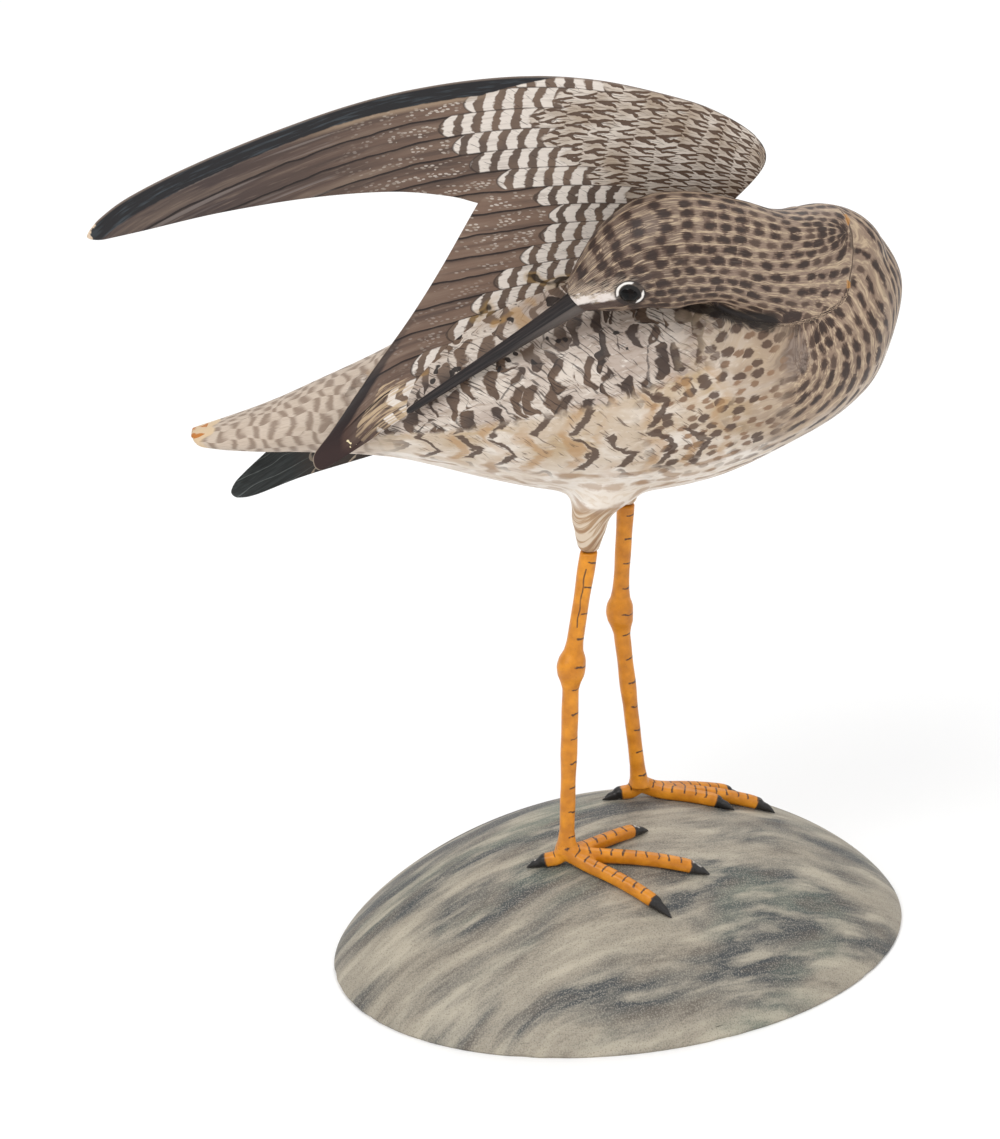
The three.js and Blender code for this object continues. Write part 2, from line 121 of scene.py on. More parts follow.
def closed_skin(rings):
    """Points and faces over rings of points: squares between neighbouring rings, and a fan from
    the middle of each end ring. The faces are turned over if they enclose a negative volume."""
    count, sides = rings.shape[:2]
    points = np.vstack([rings.reshape(-1, 3), rings[0].mean(0), rings[-1].mean(0)])
    row = np.arange(count - 1)[:, None] * sides
    here = np.arange(sides)
    beyond = (here + 1) % sides
    squares = np.stack([row + here, row + beyond, row + sides + beyond, row + sides + here], -1)
    squares = squares.reshape(-1, 4)
    last = (count - 1) * sides
    start = np.stack([np.full(sides, count * sides), beyond, here], 1)
    end = np.stack([np.full(sides, count * sides + 1), last + here, last + beyond], 1)
    a, b, c, d = (points[squares[:, k]] for k in range(4))
    volume = (np.cross(a, b) * c).sum() + (np.cross(a, c) * d).sum()
    faces = [*squares.tolist(), *start.tolist(), *end.tolist()]
    return points, faces if volume > 0 else [face[::-1] for face in faces]


def with_ends(values):
    """Values on rings, followed by the mean of each end ring, as closed_skin orders points."""
    return np.concatenate([values.reshape(-1), [values[0].mean(), values[-1].mean()]])


def new_mesh(name, points, faces):
    """A smooth mesh in metres from points in millimetres."""
    mesh = bpy.data.meshes.new(name)
    mesh.from_pydata((np.asarray(points) / 1000).tolist(), [], faces)
    mesh.shade_smooth()
    mesh.update()
    return mesh


def add_piece(name, mesh, material, slot, **attributes):
    """A piece that replaces the CAD node of its name and rides with the frame's one body."""
    piece = bpy.data.objects.new(name + "_carved", mesh)
    bpy.context.scene.collection.objects.link(piece)
    mesh.materials.clear()
    mesh.materials.append(material)
    for attribute, values in attributes.items():
        layer = mesh.attributes.new(attribute, "FLOAT", "POINT")
        layer.data.foreach_set("value", np.asarray(values, np.float32))
    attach(piece, "root")
    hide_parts(name)
    return piece


def dome_height(x, y):
    """The dome's top: the squared share of the way out to the rim is taken from one, and a
    power of the rest is the share of the height above the rim."""
    lengthwise = (x * np.cos(BASE_TURN) + y * np.sin(BASE_TURN)) / (BASE_LENGTH / 2)
    crosswise = (y * np.cos(BASE_TURN) - x * np.sin(BASE_TURN)) / (BASE_WIDTH / 2)
    left = np.clip(1 - lengthwise**2 - crosswise**2, 0, 1)
    return BASE_RIM + (BASE_HEIGHT - BASE_RIM) * left**DOME_POWER


def dome_rings():
    """Ovals from the flat underside over the rim to the crown, closer together at the rim. A
    nick at the rim is the cube of a product of three sines of the angle."""
    turn = np.linspace(0, 2 * np.pi, DOME_SIDES, endpoint=False)
    climb = np.linspace(0, CROWN_CLIMB * np.pi / 2, DOME_RINGS)
    out = np.concatenate([UNDERSIDE_OUT, np.cos(climb)])[:, None]
    nick = RIM_NICK * np.abs(np.sin(9 * turn) * np.sin(23 * turn + 1) * np.sin(5 * turn)) ** 3
    shrink = 1 - nick / BASE_WIDTH * 2 * (out > 0.98)
    lengthwise = BASE_LENGTH / 2 * out * shrink * np.cos(turn)
    crosswise = BASE_WIDTH / 2 * out * shrink * np.sin(turn)
    x = lengthwise * np.cos(BASE_TURN) - crosswise * np.sin(BASE_TURN)
    y = lengthwise * np.sin(BASE_TURN) + crosswise * np.cos(BASE_TURN)
    z = dome_height(x, y)
    z[:2] = 0
    return np.stack([x, y, z], -1)


base_points, base_faces = closed_skin(dome_rings())
stroke_along = base_points @ (np.cos(BASE_TURN), np.sin(BASE_TURN), 0)
stroke_across = base_points @ (-np.sin(BASE_TURN), np.cos(BASE_TURN), STROKE_RISE)

# Oil paint brushed on lengthwise, over a ground with sand in it: matte, streaked, finely pitted
base_paint, tree = new_finish("brushed_grey_paint_on_pine")
across = node(tree, "Attribute", attribute_name="across", out=2)
along = node(tree, "Attribute", attribute_name="along", out=2)
place = node(tree, "TexCoord", out=3)


def strokes(tree, across, along, width, length, **settings):
    """Streaky noise: one brush stroke is about width mm across and length mm along."""
    stretched = node(
        tree,
        "CombineXYZ",
        node(tree, "DIVIDE", across, width),
        node(tree, "DIVIDE", along, length),
    )
    values = {"Vector": stretched, "Scale": 1.0, "Detail": 3.0, "Roughness": 0.55}
    return node(tree, "TexNoise", {**values, **settings})


def coat(tree, under, over, value, low=0.0, high=1.0, most=1.0):
    """One colour brushed over another: none of it where the value is low, and most of it where
    the value is high."""
    share = node(tree, "MapRange", value, low, high, 0.0, most)
    return node(tree, "Mix", {0: share, 6: under, 7: over}, data_type="RGBA", out=2)


sway = node(tree, "TexNoise", {"Vector": place, "Scale": 14.0, "Detail": 1.0})
swayed = node(tree, "MULTIPLY_ADD", sway, 22.0, across)
broad = strokes(tree, swayed, along, *STROKE_SIZE, Distortion=0.4)
narrow = strokes(tree, swayed, along, *THIN_STROKE_SIZE)
bristle = strokes(tree, swayed, along, 0.9, 26.0)
tint = strokes(tree, swayed, along, 24.0, 60.0)
paint_colour = coat(tree, "#9c9383", "#3e4244", broad, 0.42, 0.59)
paint_colour = coat(tree, paint_colour, "#6a7568", tint, 0.54, 0.68, 0.7)
paint_colour = coat(tree, paint_colour, "#c3b9a5", narrow, 0.5, 0.66, 0.7)
paint_colour = coat(tree, paint_colour, "#544b43", narrow, 0.46, 0.33, 0.65)
paint_colour = coat(tree, paint_colour, "#c4bcab", bristle, 0.5, 0.75, 0.2)
sand = node(tree, "TexNoise", {"Vector": place, "Scale": 2300.0, "Detail": 2.0})
paint_colour = coat(tree, paint_colour, "#aaa396", sand, 0.5, 0.66, 0.5)
paint_colour = coat(tree, paint_colour, "#4b4a48", sand, 0.46, 0.34, 0.4)
base_relief = node(tree, "MULTIPLY_ADD", bristle, 0.5, sand)
base_shine = node(tree, "MULTIPLY_ADD", bristle, 0.16, 0.52)
join_finish(tree, paint_colour, base_shine, base_relief, 0.12)
add_piece(
    "base",
    new_mesh("base", base_points, base_faces),
    base_paint,
    "base_paint",
    across=stroke_across,
    along=stroke_along,
)


# Legs: carved limbs with a swollen joint, four toes each that lie on the dome, and black claws,
# painted orange-yellow with short dark ticks for the scales, and one long line down the near leg.

BODY_LENGTH = 206.0
HIP_HEIGHT = 137.0
LEG_THICKNESS = 4.8
TOE_THICKNESS = 4.2
MIDDLE_TOE = 43.0
STANCE_WIDTH = 40.0
STRIDE = 23.0
KNEE_SHARE = 0.37
HIPS = {"right_leg": (-5.5, -8.7, 0), "left_leg": (0.15, 8.25, 0)}
KNEES = {"right_leg": (-7.9, -9.7, -17.6), "left_leg": (-0.55, 8.7, -17.6)}
FORWARD = {"right_leg": -1, "left_leg": 1}
FEET_CENTRE = (-2.8, -0.8)
LEG_PROFILE = [
    (0, 1.08), (0.1, 1.03), (0.22, 1.0), (0.29, 1.06), (0.32, 1.2), (0.345, 1.6), (0.37, 1.72),
    (0.395, 1.64), (0.42, 1.3), (0.445, 1.06), (0.52, 1.04), (0.66, 1.02), (0.8, 0.94),
    (0.93, 0.94), (0.97, 1.12), (1, 1.5),
]
TOE_PROFILE = [(0, 1.15), (0.1, 1.02), (0.5, 0.97), (0.8, 0.93), (0.86, 0.86), (0.875, 0.68),
               (0.93, 0.56), (1, 0.1)]
TOE_LIFT = 2.2
TOE_LIFT_SHARE = 0.3
TOE_SHARES = (1, 0.84, 0.68, 0.28)
TOE_BEARINGS = {"right_leg": (-1, -31, 31, 181), "left_leg": (10, 26, -4, 194)}
CLAW_LENGTH = 5.2
CLAW_SHARE = 0.87
HIP_DROP = 0.3
TOE_CLEARANCE = 0.1
LEG_STEPS = 160
LEG_SIDES = 32
TOE_STEPS = 60
TOE_SIDES = 28
LEG_SQUARENESS = 0.8
TOE_SQUARENESS = 0.72
LEG_VOXEL = 0.36
LEG_SPREAD = 0.8
SMOOTHING_ROUNDS = 3
LEG_TICK_GAP = 8.0
TOE_TICK_GAP = 3.4
SPLIT_MIDDLE = 14
SPLIT_HALF_LENGTH = 9.5
OFF_SPLIT = 9


def bird_point(shares):
    """A place on the bird, from hundredths of the body's length about the point between its
    hips, in millimetres from the base's centre."""
    return np.asarray(shares, float) / 100 * BODY_LENGTH + (0, 0, HIP_HEIGHT)


def curve_through(points, shares):
    """Places along a smooth curve through points: between two of them a cubic whose slope at
    each end is half of the step between that end's two neighbours."""
    points = np.asarray(points, float).reshape(len(points), -1)
    longer = np.vstack([2 * points[0] - points[1], points, 2 * points[-1] - points[-2]])
    way = np.asarray(shares, float) * (len(points) - 1)
    index = np.clip(np.floor(way).astype(int), 0, len(points) - 2)
    w = (way - index)[:, None]
    before, start, end, after = (longer[index + k] for k in range(4))
    leave = (end - before) / 2
    arrive = (after - start) / 2
    square = 3 * (end - start) - 2 * leave - arrive
    cube = 2 * (start - end) + leave + arrive
    return start + leave * w + square * w**2 + cube * w**3


def unit(vectors):
    """Vectors scaled to length one."""
    return vectors / np.linalg.norm(vectors, axis=-1, keepdims=True)


def tube_rings(path, half_height, half_width, sides, squareness=1.0):
    """Rings square to a path and level from side to side. A squareness under one gives rounded
    rectangles: cosine and sine are raised to that power and keep their signs."""
    along = unit(np.gradient(path, axis=0))
    side = unit(np.cross(along, Z))
    up = np.cross(side, along)
    turn = np.linspace(0, 2 * np.pi, sides, endpoint=False)
    cosine = np.sign(np.cos(turn)) * np.abs(np.cos(turn)) ** squareness
    sine = np.sign(np.sin(turn)) * np.abs(np.sin(turn)) ** squareness
    lift = (half_height[:, None] * cosine)[..., None] * up[:, None]
    shift = (half_width[:, None] * sine)[..., None] * side[:, None]
    return path[:, None] + lift + shift


def baked(mesh, name, **modifier):
    """A copy of a mesh with one modifier applied to it."""
    worked = bpy.data.objects.new("worked", mesh)
    bpy.context.scene.collection.objects.link(worked)
    step = worked.modifiers.new("step", name)
    for setting, value in modifier.items():
        setattr(step, setting, value)
    finished = worked.evaluated_get(bpy.context.evaluated_depsgraph_get())
    result = bpy.data.meshes.new_from_object(finished)
    bpy.data.objects.remove(worked)
    return result


def points_of(mesh):
    """A mesh's points as an array in millimetres."""
    points = np.empty(len(mesh.vertices) * 3)
    mesh.vertices.foreach_get("co", points)
    return points.reshape(-1, 3) * 1000


def fused(name, parts, voxel):
    """One closed skin round overlapping closed parts, on cells of voxel mm."""
    offsets = np.cumsum([0] + [len(points) for points, _ in parts])
    points = np.vstack([points for points, _ in parts])
    faces = [
        [i + int(start) for i in face]
        for (_, part_faces), start in zip(parts, offsets)
        for face in part_faces
    ]
    rough = new_mesh(name, points, faces)
    smooth = baked(rough, "REMESH", mode="VOXEL", voxel_size=voxel / 1000)
    smooth.shade_smooth()
    return smooth


def ends_of(mesh):
    """The numbers of the points at the two ends of each edge."""
    ends = np.empty(len(mesh.edges) * 2, int)
    mesh.edges.foreach_get("vertices", ends)
    return ends.reshape(-1, 2).T


def relaxed(mesh, rounds, share=0.5, concave_only=None):
    """Moves each point towards its neighbours' mean. With concave_only, a weight for each point,
    it moves only outwards and only in a hollow, which fills a crease with a fillet."""
    points = points_of(mesh)
    one, other = ends_of(mesh)
    count = np.bincount(np.r_[one, other], minlength=len(points))[:, None]
    for _ in range(rounds):
        total = np.zeros_like(points)
        for axis in range(3):
            total[:, axis] = np.bincount(one, points[other, axis], len(points))
            total[:, axis] += np.bincount(other, points[one, axis], len(points))
        move = total / count - points
        if concave_only is not None:
            normals = np.empty(len(points) * 3)
            mesh.vertices.foreach_get("normal", normals)
            normals = normals.reshape(-1, 3)
            outward = np.clip((move * normals).sum(1), 0, None) * concave_only
            move = outward[:, None] * normals
        points = points + share * move
        mesh.vertices.foreach_set("co", (points / 1000).ravel())
        mesh.update()
    return mesh


def follow(points, path, spread):
    """How far along a path each point lies, and which way it lies from the path. Nearby samples
    of the path are averaged, each weighted by the exponential of minus its squared distance
    over spread squared, so that the answer changes smoothly."""
    lengths = np.concatenate([[0], np.cumsum(np.linalg.norm(np.diff(path, axis=0), axis=1))])
    along = np.empty(len(points))
    centre = np.empty((len(points), 3))
    for block in np.array_split(np.arange(len(points)), 1 + len(points) // 8000):
        gap = ((points[block, None] - path) ** 2).sum(-1)
        weight = np.exp((gap.min(1, keepdims=True) - gap) / spread**2)
        weight /= weight.sum(1, keepdims=True)
        along[block] = weight @ lengths
        centre[block] = weight @ path
    return along, points - centre


def toe_path(ankle, bearing, length, thickness):
    """A line on the dome from under the ankle, raised by the toe's own half thickness."""
    share = np.linspace(0, 1, TOE_STEPS)
    x = ankle[0] + np.cos(bearing) * length * share
    y = ankle[1] + np.sin(bearing) * length * share
    lift = TOE_LIFT * np.clip(1 - share / TOE_LIFT_SHARE, 0, 1) ** 2
    ground = np.stack([x, y, dome_height(x, y)], 1)
    outward_x = dome_height(x - 1, y) - dome_height(x + 1, y)
    outward_y = dome_height(x, y - 1) - dome_height(x, y + 1)
    outward = unit(np.stack([outward_x / 2, outward_y / 2, np.ones_like(x)], 1))
    return ground + outward * (thickness + TOE_CLEARANCE + lift)[:, None]


def leg_parts(name):
    """The shaft and four toes of one leg, with the path of each. The shaft is straight from hip
    to knee and from knee to ankle, and two sines make its thickness uneven."""
    hip = bird_point(HIPS[name]) - (0, 0, HIP_DROP)
    knee = bird_point(KNEES[name])
    forward = FORWARD[name]
    x = FEET_CENTRE[0] / 100 * BODY_LENGTH + forward * STRIDE / 2
    y = FEET_CENTRE[1] / 100 * BODY_LENGTH + forward * STANCE_WIDTH / 2
    ankle = np.array([x, y, dome_height(x, y) + TOE_THICKNESS / 2 + TOE_LIFT])
    share = np.linspace(0, 1, LEG_STEPS)[:, None]
    upper = hip + (knee - hip) * share / KNEE_SHARE
    lower = knee + (ankle - knee) * (share - KNEE_SHARE) / (1 - KNEE_SHARE)
    shaft_path = np.where(share < KNEE_SHARE, upper, lower)
    ripple = 1 + 0.025 * np.sin(share[:, 0] * 41 + forward) + 0.02 * np.sin(share[:, 0] * 23)
    half = np.interp(share[:, 0], *np.transpose(LEG_PROFILE)) * LEG_THICKNESS / 2 * ripple
    paths = [shaft_path]
    parts = [closed_skin(leg_rings(shaft_path, half))]
    for toe_share, bearing in zip(TOE_SHARES, TOE_BEARINGS[name]):
        length = toe_share * MIDDLE_TOE
        way = np.linspace(0, 1, TOE_STEPS)
        claw_way = np.interp(way, [0, 1 - CLAW_LENGTH / length, 1], [0, CLAW_SHARE, 1])
        half = np.interp(claw_way, *np.transpose(TOE_PROFILE)) * TOE_THICKNESS / 2
        path = toe_path(ankle, np.radians(bearing), length, half)
        paths.append(path)
        parts.append(closed_skin(tube_rings(path, half, half, TOE_SIDES, TOE_SQUARENESS)))
    return paths, parts


def leg_rings(path, half):
    """Level rings round a leg: rounded squares whose flat faces look forward and sideways."""
    turn = np.linspace(0, 2 * np.pi, LEG_SIDES, endpoint=False)
    x = np.sign(np.cos(turn)) * np.abs(np.cos(turn)) ** LEG_SQUARENESS
    y = np.sign(np.sin(turn)) * np.abs(np.sin(turn)) ** LEG_SQUARENESS
    return path[:, None] + half[:, None, None] * np.stack([x, y, 0 * x], -1)


def faded(tree, mask, value, low, high):
    """A mask that fades from nothing where a value is low to its whole where it is high."""
    return node(tree, "MULTIPLY", mask, node(tree, "MapRange", value, low, high))


def off_middle(tree, value):
    """How far a value is from the middle between two whole numbers, from 0 to a half."""
    return node(tree, "ABSOLUTE", node(tree, "SUBTRACT", node(tree, "FRACT", value), 0.5))


# Oil paint over carved wood: satin, a little deeper in the hollows, with brown-black ticks
leg_paint, tree = new_finish("orange_oil_paint_on_wood")
down, front, claw, is_toe, split = (
    node(tree, "Attribute", attribute_name=name, out=2)
    for name in ("down", "front", "claw", "toe", "split")
)
place = node(tree, "TexCoord", out=3)
mottle = node(tree, "TexNoise", {"Vector": place, "Scale": 260.0, "Detail": 3.0})
fine = node(tree, "TexNoise", {"Vector": place, "Scale": 1500.0, "Detail": 2.0})
leg_colour = coat(tree, "#c07508", "#df9018", mottle, 0.35, 0.7)
leg_colour = coat(tree, leg_colour, "#8d4d1c", fine, 0.62, 0.74, 0.25)
tick_gap = node(tree, "MULTIPLY_ADD", is_toe, TOE_TICK_GAP - LEG_TICK_GAP, LEG_TICK_GAP)
wander = node(tree, "MULTIPLY_ADD", mottle, 2.4, down)
tick_off = off_middle(tree, node(tree, "DIVIDE", wander, tick_gap))
tick_off = node(tree, "MULTIPLY_ADD", tick_off, tick_gap, node(tree, "MULTIPLY", fine, 0.5))
on_front = node(tree, "MULTIPLY_ADD", mottle, 0.5, front)
tick = faded(tree, node(tree, "MapRange", tick_off, 0.62, 0.42), on_front, 0.72, 0.85)
leg_colour = coat(tree, leg_colour, "#2e1c16", tick, most=0.9)
leg_colour = coat(tree, leg_colour, "#2e1c16", split, 0.26, 0.14, 0.85)
# Painted highlight: a pale grey gleam along the top of each black claw
claw_highlight = faded(tree, front, mottle, 0.5, 0.56)
claw_colour = coat(tree, "#1d1a19", "#b9b4ad", claw_highlight, 0.8, 0.95)
leg_colour = coat(tree, leg_colour, claw_colour, claw)
leg_shine = node(tree, "MULTIPLY_ADD", mottle, 0.25, 0.3)
leg_relief = node(tree, "MULTIPLY_ADD", fine, 0.3, mottle)
join_finish(tree, leg_colour, leg_shine, leg_relief, 0.25)

for name in ("right_leg", "left_leg"):
    paths, parts = leg_parts(name)
    leg_mesh = relaxed(fused(name, parts, LEG_VOXEL), SMOOTHING_ROUNDS)
    leg_points = points_of(leg_mesh)
    found = [follow(leg_points, path, LEG_SPREAD) for path in paths]
    gaps = np.stack([np.linalg.norm(offset, axis=1) for _, offset in found])
    limb = gaps.argmin(0)
    pick = (limb, np.arange(len(limb)))
    down = np.stack([along for along, _ in found])[pick]
    offset = unit(np.stack([offset for _, offset in found])[pick])
    length = np.array([0] + [share * MIDDLE_TOE for share in TOE_SHARES])[limb]
    is_toe = limb > 0
    front = np.where(is_toe, offset[:, 2], 0.8 * offset[:, 0] - 0.45 * offset[:, 1])
    claw = np.clip((down - (length - CLAW_LENGTH)) / 0.3, 0, 1) * is_toe
    split = np.abs(offset[:, 0] + 0.12 + 0.05 * np.sin(down)) * LEG_THICKNESS / 2
    past_split = np.abs(down - SPLIT_MIDDLE) > SPLIT_HALF_LENGTH
    split += OFF_SPLIT * ((offset[:, 1] > 0) | past_split | is_toe | (name == "left_leg"))
    add_piece(
        name,
        leg_mesh,
        leg_paint,
        "leg_paint",
        down=down,
        front=front,
        claw=claw,
        toe=is_toe,
        split=split,
    )


# Body and neck: two carved blocks of pine that meet in a glued seam across the neck, where a
# little orange filler shows. The breast runs round into the neck, and the thighs end in tufts.

BELLY = [
    (-59.6, 12.6), (-56.4, 12.3), (-51.0, 12.0), (-44.7, 11.9), (-32.5, 11.4), (-19.4, 8.4),
    (-9.7, 6.8), (0, 6.5), (12.1, 9.0), (23.3, 14.5), (30.6, 19.3), (35.2, 25.4),
]
BREAST = [(37.9, 36.4)]
BACK = [
    (34.6, 43.4), (30.1, 46.0), (23.3, 45.6), (12.1, 43.9), (0, 42.4), (-9.7, 39.8),
    (-19.4, 36.1), (-32.5, 27.3), (-44.7, 21.3), (-51.0, 18.3), (-57.3, 15.9), (-62.0, 14.5),
]
BODY_HALF_WIDTHS = [2.9, 4.3, 5.3, 6.1, 9.7, 14.1, 16.5, 17.5, 17.5, 15.8, 13.1, 9.2, 0]
TUFT_ROWS = [
    (0, 0, 0, 1.4, 1.4), (1.6, 0, 0, 1.85, 1.75), (3.2, 0.15, 0, 2.25, 2.15),
    (4.9, 0.2, 0.15, 2.7, 2.6), (6.3, 0.8, 0.3, 3.25, 3.1), (7.8, 1.7, 0.5, 4.3, 3.9),
    (9.7, 2.6, 1, 5.8, 4.6), (12.6, 2.9, 1.5, 6.3, 4.9),
]
NECK_PATH = [
    (32.6, 0.4, 38.0), (29.6, -2.2, 41.2), (26.2, -4.6, 42.3), (22.3, -7.9, 42.0),
    (17.5, -11.2, 44.0), (12.8, -13.8, 46.4), (7.8, -15.5, 47.4), (3.6, -16.0, 47.0),
    (-0.2, -16.0, 45.5), (-3.7, -16.0, 43.2), (-6.1, -15.9, 41.4), (-7.5, -15.8, 39.9),
]
BILL_DEPTH = 7.4
HEAD_END = 0.56 * BILL_DEPTH / BODY_LENGTH * 100
NECK_HALF_DEPTHS = [3.2, 6.1, 7.4, 8.4, 7.3, 7.1, 7.8, 8.1, 7.0, 5.2, 3.5, HEAD_END]
NECK_HALF_WIDTHS = [3.4, 6.3, 7.0, 7.2, 6.5, 6.1, 6.4, 6.5, 5.8, 4.5, 2.9, HEAD_END]
SEAM_POINT = (25.4, -4.2, 41.3)
SEAM_NORMAL = unit(np.array((-0.83, -0.48, 0.28)))
BODY_LINE = [
    (36, 0, 33.0), (28, 0, 30.8), (20.0, 0, 28.6), (10.0, 0, 26.4), (0, 0, 24.5), (-10, 0, 23.2),
    (-20, 0, 22.0), (-32, 0, 19.4), (-45, 0, 16.6), (-62, 0, 13.4),
]
CREASE_END = (22.2, -10.7, 35.6)
BEND_AXIS = unit(np.array((0, -0.79, -0.61)))
BEND_RADIUS = 22.0
BEND_START = 0.28
BEND_SPREAD = 20.0
BODY_VOXEL = 0.85
BODY_STEPS, BODY_SIDES = 150, 96
TUFT_STEPS, TUFT_SIDES = 50, 48
CREASE_CENTRE = (24.5, -9.0, 37.0)
CREASE_FILLET_REACH = 18
TUFT_FILLET_REACH = 11
FILLET_ROUNDS = 50
SHEATH_GAP = 5.0
SEAM_BLOCK = 300
SEAM_GAP = 0.15
NECK_OFF_BODY = (0.3, 0.45)


def body_rings():
    """Ovals between the belly's curve and the back's, which are the two halves of one outline
    from the tail round the breast, each as wide as the body is there."""
    share = np.sin(np.linspace(0, np.pi / 2, BODY_STEPS)) ** 1.2
    outline = np.array([(x, 0, z) for x, z in BELLY + BREAST + BACK])
    belly = bird_point(curve_through(outline, share / 2))
    back = bird_point(curve_through(outline, 1 - share / 2))
    half_width = curve_through(BODY_HALF_WIDTHS, share) * BODY_LENGTH / 100
    half_width = np.clip(half_width, 0.01, None)
    turn = np.linspace(0, 2 * np.pi, BODY_SIDES, endpoint=False)
    centre = (belly + back) / 2
    lift = (back - centre)[:, None] * np.cos(turn)[:, None]
    return centre[:, None] + lift + half_width[:, None] * np.sin(turn)[:, None] * Y


def tuft_rings(hip):
    """Level ovals from the bare leg's end up into the belly."""
    rows = np.array(TUFT_ROWS)
    share = np.linspace(0, 1, TUFT_STEPS)
    rise, forward, inward, half_length, half_width = curve_through(rows, share).T
    centre = bird_point(np.array(hip) + np.stack([forward, -np.sign(hip[1]) * inward, rise], 1))
    turn = np.linspace(0, 2 * np.pi, TUFT_SIDES, endpoint=False)
    oval = half_length[:, None, None] * np.cos(turn)[:, None] * X
    oval = oval + half_width[:, None, None] * np.sin(turn)[:, None] * Y
    return centre[:, None] + oval * BODY_LENGTH / 100


def neck_rings(extra=0.0, steps=180, sides=72):
    """Ovals square to the neck's path, from inside the breast to the bill's base."""
    share = np.linspace(0, 1, steps)
    path = bird_point(curve_through(NECK_PATH, share))
    half_depth = curve_through(NECK_HALF_DEPTHS, share)[:, 0] * BODY_LENGTH / 100 + extra
    half_width = curve_through(NECK_HALF_WIDTHS, share)[:, 0] * BODY_LENGTH / 100 + extra
    return tube_rings(path, half_depth, half_width, sides)


def grown(rings, extra):
    """Rings pushed outwards from their own middles by a length."""
    middle = rings.mean(1, keepdims=True)
    return rings + unit(rings - middle + 1e-9) * extra


def cut_with(mesh, other, operation):
    """A mesh joined, cut or kept with another closed mesh."""
    tool = bpy.data.objects.new("tool", other)
    bpy.context.scene.collection.objects.link(tool)
    result = baked(mesh, "BOOLEAN", object=tool, operation=operation, solver="MANIFOLD")
    bpy.data.objects.remove(tool)
    return result


def seam_tool(back, lift):
    """The space that the head's block takes: within a sheath round the neck, on the head's side
    of the seam, and outside the body."""
    sheath = new_mesh("sheath", *closed_skin(neck_rings(SHEATH_GAP, 60, 32)))
    side = unit(np.cross(SEAM_NORMAL, Z))
    up = np.cross(side, SEAM_NORMAL)
    corner = np.array([(1, 1), (-1, 1), (-1, -1), (1, -1)]) * SEAM_BLOCK / 2
    face = bird_point(SEAM_POINT) - SEAM_NORMAL * back + corner[:, :1] * side + corner[:, 1:] * up
    block = new_mesh("block", *closed_skin(np.stack([face, face + SEAM_NORMAL * SEAM_BLOCK])))
    flank = new_mesh("flank", *closed_skin(grown(body_rings(), lift)))
    return cut_with(cut_with(sheath, block, "INTERSECT"), flank, "DIFFERENCE")


whole = fused(
    "whole",
    [closed_skin(body_rings()), closed_skin(neck_rings())]
    + [closed_skin(tuft_rings(HIPS[name])) for name in HIPS],
    BODY_VOXEL,
)
whole_points = points_of(whole)
neck_root = whole_points - bird_point(CREASE_CENTRE)
neck_root = np.linalg.norm(neck_root / (1.5, 1, 1), axis=1)
fillet = np.clip(1.6 - neck_root / CREASE_FILLET_REACH, 0, 1)
for hip in HIPS.values():
    tuft_gap = np.linalg.norm(whole_points - bird_point(np.array(hip) + (2, 0, 7.5)), axis=1)
    fillet = np.maximum(fillet, np.clip(2 - tuft_gap / TUFT_FILLET_REACH, 0, 1))
whole = relaxed(relaxed(whole, FILLET_ROUNDS, 0.9, fillet), SMOOTHING_ROUNDS)
whole_points = points_of(whole)
number = whole.attributes.new("number", "FLOAT", "POINT")
number.data.foreach_set("value", np.arange(1.0, len(whole_points) + 1))
body_mesh = cut_with(whole.copy(), seam_tool(SEAM_GAP, NECK_OFF_BODY[0]), "DIFFERENCE")
head_mesh = cut_with(whole.copy(), seam_tool(0, NECK_OFF_BODY[1]), "INTERSECT")


def about_bend(points):
    """How far in front of the crease's end points lie, their angle round the bend's axis from
    the neck's side to the body's, and their distance from the axis."""
    forward = points[:, 0] - bird_point(CREASE_END)[0]
    upward = (points - bird_point(CREASE_END)) @ np.cross(BEND_AXIS, X)
    return forward, np.arctan2(np.clip(forward, 0, None), upward), np.hypot(forward, upward)


BEND_SLICES = 24


def outline_about_bend(points):
    """Angles round the bend's axis, and how far out the wood reaches at each: the greatest
    distance in each slice, averaged with two neighbours on either side, and a little more."""
    forward, bend, distance = about_bend(points)
    ahead = forward > -BEND_SPREAD / 2
    slices = np.clip((bend[ahead] / np.pi * BEND_SLICES).astype(int), 0, BEND_SLICES - 1)
    reach = np.zeros(BEND_SLICES)
    np.maximum.at(reach, slices, distance[ahead])
    padded = np.pad(reach, 2, mode="edge")
    reach = sum(padded[k : k + BEND_SLICES] for k in range(5)) / 5 * 1.15
    return (np.arange(BEND_SLICES) + 0.5) * np.pi / BEND_SLICES, reach


bend_outline = outline_about_bend(points_of(whole))


SPOT_ROWS = 14.0
BREAST_ROWS = 21.0
BREAST_ROW = 3.6
BREAST_MIDDLE = 5.0
BREAST_HALF_WIDTH = 21.0
BREAST_ROUND = 0.73
# The line of the hollow under the neck, along which shade is painted
SHADED_HOLLOW = [(6.0, -12.3, 38.2), (18.4, -15.0, 36.6)]
SEAM_HIDDEN_BELOW = (0.22, 0.2175)
# By distance along the bird: from one spot to the next, and a spot's half length and width
SPOT_TABLE = [
    (-75, 5.4, 2.0, 1.65), (-45, 5.4, 2.0, 1.75), (-30, 5.9, 2.2, 1.25), (-4, 6.0, 2.2, 1.15),
    (10, 4.8, 2.3, 1.1), (60, 5.2, 2.4, 1.1), (100, 7.0, 2.8, 1.1), (240, 9.0, 2.8, 1.1),
]


